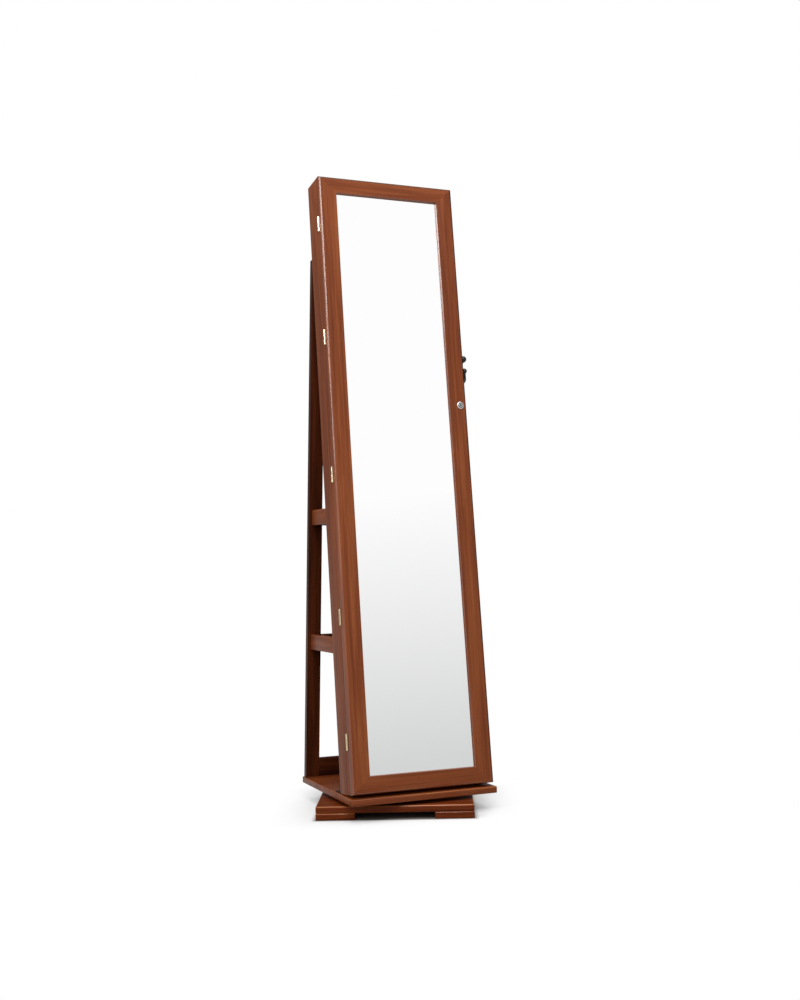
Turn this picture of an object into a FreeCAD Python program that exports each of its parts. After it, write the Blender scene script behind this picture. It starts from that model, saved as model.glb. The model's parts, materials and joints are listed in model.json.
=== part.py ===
import FreeCAD, Part
import os
import re
import Sketcher

# Rotating mirrored jewelry armoire: a narrow cabinet with a full-length mirror door leans back
# against a ladder-like rear frame, and both stand on a square turntable over a square footed base.
# Millimetres, +Z up. The origin is on the floor, on the swivel axis. The mirror faces -Y, and the
# door's hinges are on the -X side.

model = FreeCAD.newDocument("JewelryArmoire")

# Driving dimensions. A name that ends in deg is an angle, one that ends in count is a number.
SIZES = {
    # base and turntable boards
    "board_side": 370,
    "base_thick": 16,
    "base_bevel": 2,
    "turntable_thick": 15,
    "turntable_bevel": 1,
    "corner_round": 4,
    "foot_tall": 16,
    "foot_side": 92,
    "foot_bevel": 1.6,
    "stand_turn_deg": 23.6,
    # pressed-steel roller swivel between base and turntable
    "swivel_gap": 9,
    "swivel_plate_side": 152,
    "swivel_plate_thick": 1.6,
    "swivel_plate_round": 12,
    "swivel_screw_inset": 12,
    "race_radius": 60,
    "race_wide": 10,
    "roller_radius": 2.5,
    "roller_long": 7,
    "roller_clearance": 0.05,
    "roller_count": 12,
    "cage_thick": 1.2,
    "cage_wide": 13,
    # wood screws
    "screw_radius": 1.9,
    "screw_long": 11,
    "screw_head_radius": 3.8,
    "screw_head_tall": 2,
    # rear frame
    "post_wide": 35,
    "post_thick": 15,
    "post_drop": 188.3,
    "post_rear_inset": 1,
    "post_end_thick": 13,
    "post_screw_drop": 5.5,
    "post_screw_long": 30,
    "post_screw_sink": 3,
    "foot_rail_tall": 46,
    "shelf_rail_tall": 38,
    "side_rail_thick": 12,
    "side_rail_inset": 8,
    "lower_shelf_share": 0.249,
    "upper_shelf_share": 0.49,
    "shelf_thick": 9,
    "shelf_drop": 16,
    "shelf_bevel": 1,
    # cabinet case
    "cabinet_wide": 360,
    "cabinet_tall": 1498,
    "cabinet_deep": 83,
    "cabinet_setback": 95,
    "lean_deg": 6.2,
    "side_thick": 9,
    "end_thick": 12,
    "back_thick": 4,
    "lining_thick": 1.5,
    "case_round": 1,
    # supports between turntable and leaning cabinet
    "wedge_wide": 60,
    "wedge_spacing": 200,
    "wedge_front_inset": 44,
    "wedge_rear_inset": 14,
    "bracket_wide": 16,
    "bracket_thick": 2.5,
    "bracket_tall": 50,
    "bracket_foot": 36,
    # case fittings
    "fit_front_gap": 21.5,
    "inner_shelf_thick": 8,
    "fence_thick": 4,
    "fence_tall": 32,
    "ring_board_side_gap": 21,
    "ring_board_tall": 190,
    "ring_board_thick": 5,
    "ring_board_drop": 688,
    "ring_board_gap": 42,
    "ring_board_margin": 8,
    "ring_roll_radius": 10,
    "ring_roll_sink": 4,
    "ring_roll_gap": 1.2,
    "ring_roll_count": 8,
    "rod_radius": 5,
    "rod_drop": 568,
    "rod_forward": 24,
    "socket_radius": 11,
    "socket_long": 6,
    "hook_rail_tall": 24,
    "hook_rail_thick": 10,
    "hook_rail_drop": 64,
    "hook_strip_thick": 2,
    "hook_strip_wide": 3,
    "hook_reach": 16,
    "hook_tip": 7,
    "hook_lean": 1.5,
    "hook_bevel": 1,
    "case_hook_count": 12,
    "case_hook_margin": 20,
    # door
    "door_thick": 15,
    "door_gap": 1,
    "stile_wide": 45,
    "door_rail_wide": 41,
    "door_edge_round": 5.5,
    "glass_recess": 6.5,
    "glass_thick": 3,
    "glass_bite": 6,
    # door fittings
    "vanity_side_gap": 41,
    "vanity_tall": 250,
    "vanity_thick": 4,
    "vanity_round": 8,
    "vanity_drop": 238,
    "door_rail_side_gap": 21,
    "door_rail_tall": 22,
    "door_rail_thick": 7,
    "door_rail_drop": 146,
    "door_hook_reach": 9,
    "door_hook_count": 8,
    "door_hook_margin": 15,
    "earring_side_gap": 26,
    "earring_tall": 300,
    "earring_thick": 3,
    "earring_drop": 608,
    "earring_stand": 9,
    "earring_slot_wide": 3,
    "earring_slot_margin": 22,
    "earring_slot_count": 9,
    # hinges
    "hinge_long": 38,
    "hinge_end_inset": 120.5,
    "hinge_inner_gap": 340,
    "knuckle_radius": 3.2,
    "knuckle_gap": 0.3,
    "knuckle_gain": 0.35,
    "knuckle_proud": 1,
    "pin_radius": 1.5,
    "pin_clearance": 0.05,
    "leaf_thick": 1,
    "leaf_sink": 0.6,
    "leaf_land": 1,
    # cam lock
    "lock_side_inset": 17.2,
    "lock_drop": 572.4,
    "barrel_radius": 7,
    "barrel_behind": 8,
    "bezel_radius": 9.5,
    "bezel_thick": 2.4,
    "bezel_bevel": 1.5,
    "plug_radius": 5.5,
    "plug_clearance": 0.05,
    "plug_proud": 0.4,
    "keyway_wide": 1.8,
    "keyway_tall": 6.5,
    "keyway_deep": 8,
    "nut_corner_radius": 8.4,
    "nut_thick": 3,
    "tang_radius": 3,
    "cam_thick": 2,
    "cam_half_wide": 5.5,
    "cam_reach": 13,
    "cam_gap": 0.3,
    "cam_slot_margin": 0.8,
    # magnet catch
    "catch_tall": 26,
    "catch_wide": 12,
    "catch_deep": 12,
    "catch_drop": 70,
    "catch_gap": 0.2,
    "catch_plate_tall": 30,
    "catch_plate_wide": 14,
    "catch_plate_thick": 1.2,
    # coat hook on the right side
    "coat_hook_behind": 50,
    "coat_plate_drop": 437,
    "coat_plate_tall": 76,
    "coat_plate_wide": 18,
    "coat_plate_thick": 3,
    "coat_plate_round": 6,
    "coat_wire_radius": 3.5,
    "coat_bend_radius": 10,
    "coat_bend_rise": 23,
    "coat_tip_rise": 44,
    "coat_tip_radius": 7,
    "coat_arm_rise": 51,
    "coat_ball_rise": 75,
    "coat_ball_out": 24,
    "coat_ball_radius": 8.5,
    "coat_screw_margin": 6,
    "overrun": 4,
}

# Sizes and places that follow from the driving dimensions.
DERIVED = {
    "half_board": "board_side / 2",
    "base_top": "foot_tall + base_thick",
    "turntable_low": "base_top + swivel_gap",
    "turntable_top": "turntable_low + turntable_thick",
    "race_in": "race_radius - race_wide / 2",
    "race_out": "race_radius + race_wide / 2",
    "race_tall": "swivel_gap / 2 - roller_radius - roller_clearance",
    "roller_up": "base_top + swivel_gap / 2",
    "swivel_screw_at": "swivel_plate_side / 2 - swivel_screw_inset",
    "half_wide": "cabinet_wide / 2",
    "case_deep": "cabinet_deep - door_thick - door_gap",
    "inner_half": "half_wide - side_thick",
    "inner_tall": "cabinet_tall - 2 * end_thick",
    "lean_slope": "tan(lean_deg)",
    "post_rise": "(cabinet_tall - post_drop) * cos(lean_deg)",
    "lower_shelf_rise": "post_rise * lower_shelf_share",
    "upper_shelf_rise": "post_rise * upper_shelf_share",
    "post_foot_y": "half_board - post_rear_inset",
    "post_head_y": "post_rise * lean_slope - cabinet_setback + post_end_thick",
    "post_slope": "(post_foot_y - post_head_y) / post_rise",
    "post_run": "post_thick * sqrt(1 + post_slope * post_slope)",
    "post_meet_rise": "(post_foot_y - post_run + cabinet_setback) / (lean_slope + post_slope)",
    "side_rail_out": "half_wide - side_rail_inset",
    "side_rail_in": "side_rail_out - side_rail_thick",
    "fit_back": "back_thick + lining_thick",
    "fit_deep": "case_deep - fit_back - fit_front_gap",
    "fit_front": "fit_back + fit_deep",
    "ring_board_wide": "2 * (inner_half - ring_board_side_gap)",
    "ring_board_up": "cabinet_tall - ring_board_drop - ring_board_tall",
    "high_shelf_up": "ring_board_up - ring_board_gap - inner_shelf_thick",
    "mid_shelf_up": "high_shelf_up * 2 / 3",
    "low_shelf_up": "high_shelf_up / 3",
    "rod_up": "cabinet_tall - rod_drop",
    "hook_rail_up": "cabinet_tall - hook_rail_drop - hook_rail_tall",
    "door_back": "case_deep + door_gap",
    "opening_half": "half_wide - stile_wide",
    "glass_half": "opening_half + glass_bite",
    "glass_low": "door_rail_wide - glass_bite",
    "glass_tall": "cabinet_tall - 2 * glass_low",
    "backing_thick": "door_thick - glass_recess - glass_thick",
    "vanity_wide": "2 * (glass_half - vanity_side_gap)",
    "vanity_up": "cabinet_tall - vanity_drop - vanity_tall",
    "door_rail_long": "2 * (glass_half - door_rail_side_gap)",
    "door_rail_up": "cabinet_tall - door_rail_drop - door_rail_tall",
    "earring_wide": "2 * (glass_half - earring_side_gap)",
    "earring_up": "cabinet_tall - earring_drop - earring_tall",
    "pivot_x": "half_wide + knuckle_proud",
    "pivot_y": "case_deep + door_gap / 2",
    "knuckle_pitch": "(hinge_long + knuckle_gap) / 5",
    "knuckle_long": "knuckle_pitch - knuckle_gap",
    "leaf_start": "pivot_x - knuckle_radius - knuckle_gap",
    "case_leaf_end": "inner_half + leaf_land",
    "lock_x": "half_wide - lock_side_inset",
    "lock_up": "cabinet_tall - lock_drop",
    "barrel_rear": "door_back - barrel_behind",
    "cam_front": "barrel_rear - cam_gap",
    "ring_roll_pitch": "2 * ring_roll_radius + ring_roll_gap",
    "coat_plate_up": "cabinet_tall - coat_plate_drop - coat_plate_tall",
    "coat_bend_up": "coat_plate_up + coat_bend_rise",
    "coat_tip_up": "coat_plate_up + coat_tip_rise",
    "coat_arm_up": "coat_plate_up + coat_arm_rise",
    "coat_ball_up": "coat_plate_up + coat_ball_rise",
    "coat_plate_face": "half_wide + coat_plate_thick",
    "coat_wire_x": "coat_plate_face + coat_wire_radius / 2",
}

sheet = model.addObject("Spreadsheet::Sheet", "Sizes")
for row, (name, number) in enumerate(SIZES.items(), start=1):
    sheet.set(f"A{row}", name)
    sheet.set(f"B{row}", str(number))
    sheet.setAlias(f"B{row}", name)
model.recompute()


def linked(formula):
    """The formula with each size name written as a reference to its cell."""
    def reference(match):
        word = match.group(0)
        if word in SIZES:
            return "Sizes." + word
        if word in DERIVED:
            return "Places." + word
        return word
    return re.sub(r"[A-Za-z_]\w*", reference, str(formula))


places = model.addObject("Spreadsheet::Sheet", "Places")
for row, (name, formula) in enumerate(DERIVED.items(), start=1):
    places.set(f"A{row}", name)
    places.set(f"B{row}", "=" + linked(formula).replace("Places.", ""))
    places.setAlias(f"B{row}", name)
    model.recompute()


def read(formula):
    """The formula's value now, as a plain number."""
    answer = sheet.evalExpression(linked(formula))
    return float(getattr(answer, "Value", answer))


def bind(target, name, formula):
    target.setExpression(name, linked(formula))


def add_place(target, at):
    for axis, formula in zip("xyz", at):
        bind(target, f"Placement.Base.{axis}", formula)


# Frames that sub-parts are drawn in: origin, turning axis and angle.
FRAMES = {
    "floor": (("0", "0", "0"), (0, 0, 1), "0"),
    "stand": (("0", "0", "0"), (0, 0, 1), "-stand_turn_deg"),
    # The cabinet frame starts at the middle of the cabinet's lower back edge, X to the right,
    # Y straight out of its back and Z up its back.
    "cabinet": (("0", "-cabinet_setback", "turntable_top"), (1, 0, 0), "-lean_deg"),
}

SUBPARTS = {}


def new_part(label, frame):
    """A body with its own label, in one of the frames."""
    body = model.addObject("PartDesign::Body", label)
    body.Label = label
    at, axis, angle = FRAMES[frame]
    body.Placement = FreeCAD.Placement(FreeCAD.Vector(), FreeCAD.Rotation(FreeCAD.Vector(*axis), 1))
    add_place(body, at)
    for name, share in zip("xyz", axis):
        bind(body, f"Placement.Rotation.Axis.{name}", share)
    bind(body, "Placement.Rotation.Angle", angle)
    SUBPARTS[label] = body
    return body


def block(body, name, size, corner, cut=False):
    """A box from its lowest corner."""
    kind = "PartDesign::SubtractiveBox" if cut else "PartDesign::AdditiveBox"
    feature = body.newObject(kind, name)
    for side, formula in zip(("Length", "Width", "Height"), size):
        bind(feature, side, formula)
    add_place(feature, corner)
    return feature


TURNS = {
    "up": FreeCAD.Rotation(),
    "down": FreeCAD.Rotation(FreeCAD.Vector(1, 0, 0), 180),
    "front": FreeCAD.Rotation(FreeCAD.Vector(1, 0, 0), 90),
    "back": FreeCAD.Rotation(FreeCAD.Vector(1, 0, 0), -90),
    "right": FreeCAD.Rotation(FreeCAD.Vector(0, 1, 0), 90),
    "left": FreeCAD.Rotation(FreeCAD.Vector(0, 1, 0), -90),
}


def rod(body, name, radius, long, start, towards="up", cut=False):
    """A cylinder from the middle of its first end."""
    kind = "PartDesign::SubtractiveCylinder" if cut else "PartDesign::AdditiveCylinder"
    feature = body.newObject(kind, name)
    bind(feature, "Radius", radius)
    bind(feature, "Height", long)
    feature.Placement = FreeCAD.Placement(FreeCAD.Vector(), TURNS[towards])
    add_place(feature, start)
    return feature


def origin_part(body, role):
    return next(part for part in body.Origin.OriginFeatures if part.Role == role)


def outline(body, name, plane, points, offset="0", zero=("0", "0")):
    """A closed sketch of straight lines whose corners, counted from zero, are held by formulas."""
    sketch = body.newObject("Sketcher::SketchObject", name)
    sketch.AttachmentSupport = (origin_part(body, plane + "_Plane"), [""])
    sketch.MapMode = "FlatFace"
    for axis, formula in zip("xyz", (*zero, offset)):
        bind(sketch, f"AttachmentOffset.Base.{axis}", formula)
    corners = [FreeCAD.Vector(read(across), read(along), 0) for across, along in points]
    count = len(corners)
    for index, corner in enumerate(corners):
        sketch.addGeometry(Part.LineSegment(corner, corners[(index + 1) % count]))
    for index in range(count):
        sketch.addConstraint(Sketcher.Constraint("Coincident", index, 2, (index + 1) % count, 1))
    for index, pair in enumerate(points):
        for kind, formula in zip(("DistanceX", "DistanceY"), pair):
            number = sketch.addConstraint(Sketcher.Constraint(kind, -1, 1, index, 1, read(formula)))
            sketch.setExpression(f"Constraints[{number}]", linked(formula))
    return sketch


def pad(body, name, plane, points, thick, offset="0"):
    """An outline made solid from its offset plane along the plane's normal."""
    sketch = outline(body, name + "_outline", plane, points, offset)
    feature = body.newObject("PartDesign::Pad", name)
    feature.Profile = sketch
    bind(feature, "Length", thick)
    return feature


def cut_through(body, name, plane, points, reach):
    """An outline cut out of the body, as far as reach to each side of its plane."""
    sketch = outline(body, name + "_outline", plane, points)
    feature = body.newObject("PartDesign::Pocket", name)
    feature.Profile = sketch
    feature.Midplane = True
    bind(feature, "Length", f"2 * ({reach})")
    return feature


def turned_knob(body, name, radius, plane, offset, middle):
    """A ball-shaped knob turned about the upright line through its middle, with five flat bands."""
    profile = [("0", f"-({radius})"), (f"0.6 * {radius}", f"-0.85 * {radius}"),
               (radius, f"-0.38 * {radius}"), (radius, f"0.38 * {radius}"),
               (f"0.6 * {radius}", f"0.85 * {radius}"), ("0", radius)]
    sketch = outline(body, name + "_outline", plane, profile, offset, middle)
    feature = body.newObject("PartDesign::Revolution", name)
    feature.Profile = sketch
    feature.ReferenceAxis = (sketch, ["V_Axis"])
    feature.Angle = 360
    return feature


def pick_edges(body, wanted):
    """The body's last feature with the names of its edges, in its own frame, that wanted picks."""
    model.recompute()
    last = body.Tip
    return last, [f"Edge{number}" for number, edge in enumerate(last.Shape.Edges, start=1) if wanted(edge)]


def soften(body, name, radius, wanted):
    picked = pick_edges(body, wanted)
    feature = body.newObject("PartDesign::Fillet", name)
    feature.Base = picked
    bind(feature, "Radius", radius)
    return feature


def bevel(body, name, size, wanted):
    picked = pick_edges(body, wanted)
    feature = body.newObject("PartDesign::Chamfer", name)
    feature.Base = picked
    bind(feature, "Size", size)
    return feature


def near(one, other):
    return abs(one - other) < read("overrun") / 1000


def is_upright(edge):
    return near(edge.BoundBox.XLength, 0) and near(edge.BoundBox.YLength, 0)


def lies_at(edge, axis, formula):
    """True if the whole edge lies at that value of X, Y or Z."""
    low = getattr(edge.BoundBox, axis + "Min")
    high = getattr(edge.BoundBox, axis + "Max")
    return near(low, read(formula)) and near(high, read(formula))


def add_screw(body, name, at, towards, long="screw_long"):
    """A pan-head wood screw whose head sits on the surface at that point."""
    rod(body, name + "_shank", "screw_radius", long, at, towards)
    away = {"down": "up", "up": "down", "front": "back", "left": "right"}[towards]
    head = rod(body, name + "_head", "screw_head_radius", "screw_head_tall", at, away)
    return head


def corners_of(at):
    """The four sign pairs of a square pattern, with their formulas."""
    return [(f"{x} * ({at})", f"{y} * ({at})") for x in (-1, 1) for y in (-1, 1)]


def make_board(label, frame, thick, low, ease):
    """A square board with rounded corners and bevelled upper edges."""
    body = new_part(label, frame)
    block(body, label + "_blank", ("board_side", "board_side", thick), ("-half_board", "-half_board", low))
    soften(body, label + "_corners", "corner_round", is_upright)
    top = f"{low} + {thick}"
    bevel(body, label + "_ease", ease, lambda edge: lies_at(edge, "Z", top))
    return body


def make_stand():
    board = make_board("base_board", "stand", "base_thick", "foot_tall", "base_bevel")
    for number, (x, y) in enumerate(corners_of("swivel_screw_at"), start=1):
        top = "base_top"
        rod(board, f"pilot_{number}", "screw_radius", "screw_long", (x, y, top), "down", cut=True)

    feet = new_part("base_feet", "stand")
    for number, (x, y) in enumerate(corners_of("half_board - foot_side / 2"), start=1):
        corner = (f"{x} - foot_side / 2", f"{y} - foot_side / 2", "0")
        block(feet, f"foot_{number}", ("foot_side", "foot_side", "foot_tall"), corner)
    soften(feet, "foot_corners", "corner_round", is_upright)
    bevel(feet, "foot_ease", "foot_bevel", lambda edge: lies_at(edge, "Z", "foot_tall"))


def make_swivel_plate(label, frame, plate_low, race_low, screw_side):
    """A square steel plate with a raised ring that the rollers run on."""
    body = new_part(label, frame)
    side = "swivel_plate_side"
    block(body, label + "_blank", (side, side, "swivel_plate_thick"),
          (f"-{side} / 2", f"-{side} / 2", plate_low))
    soften(body, label + "_corners", "swivel_plate_round", is_upright)
    rod(body, label + "_ring", "race_out", "race_tall", ("0", "0", race_low))
    low = "base_top - overrun"
    rod(body, label + "_centre", "race_in", "swivel_gap + 2 * overrun", ("0", "0", low), cut=True)
    for number, (x, y) in enumerate(corners_of("swivel_screw_at"), start=1):
        rod(body, f"{label}_hole_{number}", "screw_radius", "swivel_gap + 2 * overrun", (x, y, low), cut=True)
    screws = new_part(screw_side + "_screws", frame)
    below = ("base_top + swivel_plate_thick", "down")
    above = ("turntable_low - swivel_plate_thick", "up")
    seat, towards = below if screw_side == "swivel_lower" else above
    for number, (x, y) in enumerate(corners_of("swivel_screw_at"), start=1):
        add_screw(screws, f"{screw_side}_screw_{number}", (x, y, seat), towards)
    return body


def make_swivel():
    make_swivel_plate("swivel_lower_plate", "stand", "base_top", "base_top", "swivel_lower")
    make_swivel_plate("swivel_upper_plate", "floor", "turntable_low - swivel_plate_thick",
                      "turntable_low - race_tall", "swivel_upper")

    rollers = new_part("swivel_rollers", "floor")
    cage = new_part("swivel_cage", "floor")
    low = "roller_up - cage_thick / 2"
    rod(cage, "cage_disc", "race_radius + cage_wide / 2", "cage_thick", ("0", "0", low))
    rod(cage, "cage_centre", "race_radius - cage_wide / 2", "cage_thick", ("0", "0", low), cut=True)
    count = int(read("roller_count"))
    for number in range(count):
        turn = f"(360 * {number} / {count})"
        add_roller(rollers, f"roller_{number}", "roller_radius", "roller_long", turn)
        add_roller(cage, f"window_{number}", "roller_radius + roller_clearance",
                   "roller_long + 2 * roller_clearance", turn, cut=True)


def add_roller(body, name, radius, long, turn, cut=False):
    """A cylinder on a line from the swivel axis, with its middle over the middle of the race."""
    start = f"(race_radius - ({long}) / 2)"
    at = (f"{start} * cos({turn})", f"{start} * sin({turn})", "roller_up")
    roller = rod(body, name, radius, long, at, "right", cut)
    roller.Placement = FreeCAD.Placement(roller.Placement.Base, TURNS["up"])
    bind(roller, "Placement.Rotation.Axis.x", f"-sin({turn})")
    bind(roller, "Placement.Rotation.Axis.y", f"cos({turn})")
    bind(roller, "Placement.Rotation.Axis.z", "0")
    bind(roller, "Placement.Rotation.Angle", "90")


def case_back(rise):
    """Y of the cabinet's back at a height above the turntable."""
    return f"(({rise}) * lean_slope - cabinet_setback)"


def post_rear(rise):
    return f"(post_foot_y - ({rise}) * post_slope)"


def post_front(rise):
    return f"(post_foot_y - post_run - ({rise}) * post_slope)"


def up(rise):
    return f"turntable_top + {rise}"


def make_turntable():
    board = make_board("turntable_board", "floor", "turntable_thick", "turntable_low", "turntable_bevel")
    for number, (x, y) in enumerate(corners_of("swivel_screw_at"), start=1):
        start = (x, y, "turntable_low")
        rod(board, f"pilot_{number}", "screw_radius", "screw_long", start, "up", cut=True)


def make_post(label, low_x, screw_x):
    """A leaning post whose head is planed to lie flat on the cabinet's back."""
    post = new_part(label, "floor")
    points = [(post_rear("0"), up("0")), (post_front("0"), up("0")),
              (post_front("post_meet_rise"), up("post_meet_rise")),
              (case_back("post_rise"), up("post_rise")), (post_rear("post_rise"), up("post_rise"))]
    pad(post, label + "_length", "YZ", points, "post_wide", low_x)
    rise = "post_rise - post_screw_drop"
    seat = f"{post_rear(rise)} - post_screw_sink"
    at = (screw_x, seat, up(rise))
    rod(post, label + "_sink", "screw_head_radius", "post_thick", at, "back", cut=True)
    rod(post, label + "_hole", "screw_radius", "post_thick + overrun", at, "front", cut=True)
    return at


def make_rear_frame():
    screws = new_part("post_screws", "floor")
    edge = "(half_wide - side_thick / 2)"
    for side, low_x, sign in (("left", "-half_wide", "-"), ("right", "half_wide - post_wide", "")):
        label = "rear_post_" + side
        at = make_post(label, low_x, sign + edge)
        add_screw(screws, label + "_screw", at, "front", "post_screw_long")

    rails = (("rear_rail_bottom", "0", "foot_rail_tall"),
             ("rear_rail_lower", "lower_shelf_rise", "shelf_rail_tall"),
             ("rear_rail_upper", "upper_shelf_rise", "shelf_rail_tall"))
    for label, low, tall in rails:
        high = f"{low} + {tall}"
        rail = new_part(label, "floor")
        points = [(post_rear(low), up(low)), (post_front(low), up(low)),
                  (post_front(high), up(high)), (post_rear(high), up(high))]
        pad(rail, label + "_length", "YZ", points, "cabinet_wide - 2 * post_wide", "post_wide - half_wide")

    for level, low in (("lower", "lower_shelf_rise"), ("upper", "upper_shelf_rise")):
        high = f"{low} + shelf_rail_tall"
        points = [(case_back(low), up(low)), (post_front(low), up(low)),
                  (post_front(high), up(high)), (case_back(high), up(high))]
        for side, low_x in (("left", "-side_rail_out"), ("right", "side_rail_in")):
            rail = new_part(f"{level}_side_rail_{side}", "floor")
            pad(rail, f"{level}_side_rail_{side}_length", "YZ", points, "side_rail_thick", low_x)
        top = f"{high} - shelf_drop"
        bottom = f"{top} - shelf_thick"
        eased = f"{top} - shelf_bevel"
        panel = [(case_back(bottom), up(bottom)), (post_front(bottom), up(bottom)),
                 (post_front(eased), up(eased)), (f"{post_front(eased)} - shelf_bevel", up(top)),
                 (f"{case_back(eased)} + shelf_bevel", up(top)), (case_back(eased), up(eased))]
        shelf = new_part(f"{level}_shelf", "floor")
        pad(shelf, f"{level}_shelf_panel", "YZ", panel, "2 * side_rail_in", "-side_rail_in")


def make_supports():
    def under_case(y):
        """Height of the cabinet's underside at a Y."""
        return f"(turntable_top - ({y} + cabinet_setback) * lean_slope)"

    front = "(-cabinet_setback - cabinet_deep + wedge_front_inset)"
    rear = "(-cabinet_setback - wedge_rear_inset)"
    points = [(front, "turntable_top"), (rear, "turntable_top"),
              (rear, under_case(rear)), (front, under_case(front))]
    wedges = new_part("tilt_wedges", "floor")
    for side, middle in (("left", "-wedge_spacing / 2"), ("right", "wedge_spacing / 2")):
        pad(wedges, f"wedge_{side}", "YZ", points, "wedge_wide", f"{middle} - wedge_wide / 2")

    heel = case_back("0")
    shape = [(heel, up("0")), (f"{heel} + bracket_foot", up("0")),
             (f"{heel} + bracket_foot", up("bracket_thick")),
             (f"{case_back('bracket_thick')} + bracket_thick", up("bracket_thick")),
             (f"{case_back('bracket_tall')} + bracket_thick", up("bracket_tall")),
             (case_back("bracket_tall"), up("bracket_tall"))]
    brackets = new_part("rear_brackets", "floor")
    for side, low_x in (("left", "-half_wide"), ("right", "half_wide - bracket_wide")):
        pad(brackets, f"bracket_{side}", "YZ", shape, "bracket_wide", low_x)


def hinge_middles():
    """Heights of the five hinges up the cabinet."""
    half = "cabinet_tall / 2"
    return ["hinge_end_inset", f"{half} - hinge_inner_gap", half,
            f"{half} + hinge_inner_gap", "cabinet_tall - hinge_end_inset"]


def make_case():
    left = new_part("case_side_left", "cabinet")
    side_size = ("side_thick", "case_deep", "cabinet_tall")
    block(left, "left_blank", side_size, ("-half_wide", "-case_deep", "0"))
    cut_hinge_seats(left, "left", "-case_deep", "case_leaf_end")
    right = new_part("case_side_right", "cabinet")
    block(right, "right_blank", side_size, ("inner_half", "-case_deep", "0"))
    slot_low = "lock_up - cam_reach - cam_slot_margin"
    slot_tall = "cam_reach + cam_half_wide + 2 * cam_slot_margin"
    slot_deep = "cam_thick + 2 * cam_slot_margin"
    slot_reach = "lock_x + cam_reach + cam_slot_margin - inner_half"
    block(right, "cam_slot", (slot_reach, slot_deep, slot_tall),
          ("inner_half", "-cam_front - cam_slot_margin", slot_low), cut=True)
    rise = "(post_rise - post_screw_drop)"
    for body, sign in ((left, "-"), (right, "")):
        start = (f"{sign}(half_wide - side_thick / 2)", "cos(lean_deg) * overrun",
                 f"{rise} / cos(lean_deg) + sin(lean_deg) * overrun")
        name = body.Label + "_post_hole"
        hole = rod(body, name, "screw_radius", "post_screw_long", start, "front", cut=True)
        bind(hole, "Placement.Rotation.Angle", "90 + lean_deg")
    for number in (1, 2):
        at = ("half_wide", "coat_hook_behind - cabinet_deep", coat_screw_height(number))
        rod(right, f"coat_hole_{number}", "screw_radius", "side_thick", at, "left", cut=True)

    for label, low in (("case_bottom", "0"), ("case_top", "cabinet_tall - end_thick")):
        end = new_part(label, "cabinet")
        block(end, label + "_board", ("2 * inner_half", "case_deep", "end_thick"),
              ("-inner_half", "-case_deep", low))
    back = new_part("case_back", "cabinet")
    block(back, "back_panel", ("2 * inner_half", "back_thick", "inner_tall"),
          ("-inner_half", "-back_thick", "end_thick"))
    lining = new_part("case_lining", "cabinet")
    block(lining, "lining_sheet", ("2 * inner_half", "lining_thick", "inner_tall"),
          ("-inner_half", "-fit_back", "end_thick"))


def coat_screw_height(number):
    if number == 1:
        return "coat_plate_up + coat_screw_margin"
    return "coat_plate_up + coat_plate_tall - coat_screw_margin"


def cut_hinge_seats(body, name, seat_y, leaf_end):
    """Cuts each hinge's leaf seat and the rounded gain for its knuckle."""
    for number, middle in enumerate(hinge_middles(), start=1):
        low = f"{middle} - hinge_long / 2"
        rod(body, f"{name}_gain_{number}", "knuckle_radius + knuckle_gain", "hinge_long + 2 * knuckle_gain",
            ("-pivot_x", "-pivot_y", f"{low} - knuckle_gain"), cut=True)
        block(body, f"{name}_seat_{number}", (f"half_wide - {leaf_end}", "leaf_sink", "hinge_long"),
              ("-half_wide", seat_y, low), cut=True)


def make_inner_shelves():
    fences = new_part("shelf_fences", "cabinet")
    tops = ["end_thick"]
    for level, low in (("low", "low_shelf_up"), ("mid", "mid_shelf_up"), ("high", "high_shelf_up")):
        shelf = new_part(f"inner_shelf_{level}", "cabinet")
        block(shelf, f"inner_shelf_{level}_board", ("2 * inner_half", "fit_deep", "inner_shelf_thick"),
              ("-inner_half", "-fit_front", low))
        tops.append(f"{low} + inner_shelf_thick")
    for number, top in enumerate(tops[:3], start=1):
        block(fences, f"fence_{number}", ("2 * inner_half", "fence_thick", "fence_tall"),
              ("-inner_half", "-fit_front", top))


def make_ring_cushion():
    board = new_part("ring_board", "cabinet")
    block(board, "ring_board_sheet", ("ring_board_wide", "ring_board_thick", "ring_board_tall"),
          ("-ring_board_wide / 2", "-fit_back - ring_board_thick", "ring_board_up"))
    rolls = new_part("ring_rolls", "cabinet")
    face = "(fit_back + ring_board_thick)"
    middle_y = f"-{face} - ring_roll_radius + ring_roll_sink"
    long = "ring_board_wide - 2 * ring_board_margin"
    first_up = "ring_board_up + ring_board_margin + ring_roll_radius"
    for number in range(int(read("ring_roll_count"))):
        lift = f"{first_up} + {number} * ring_roll_pitch"
        rod(rolls, f"roll_{number}", "ring_roll_radius", long, (f"-({long}) / 2", middle_y, lift), "right")
    block(rolls, "roll_flat", (long, "ring_roll_sink + overrun", "ring_board_tall"),
          (f"-({long}) / 2", f"-{face}", "ring_board_up"), cut=True)


def make_hanging_rod():
    bar = new_part("bracelet_rod", "cabinet")
    sockets = new_part("rod_sockets", "cabinet")
    y = "-fit_back - rod_forward"
    rod(bar, "bar", "rod_radius", "2 * inner_half", ("-inner_half", y, "rod_up"), "right")
    for number, x in enumerate(("-inner_half", "inner_half - socket_long"), start=1):
        rod(sockets, f"socket_{number}", "socket_radius", "socket_long", (x, y, "rod_up"), "right")
    bore_at = ("-inner_half", y, "rod_up")
    rod(sockets, "socket_bore", "rod_radius", "2 * inner_half", bore_at, "right", cut=True)


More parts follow.
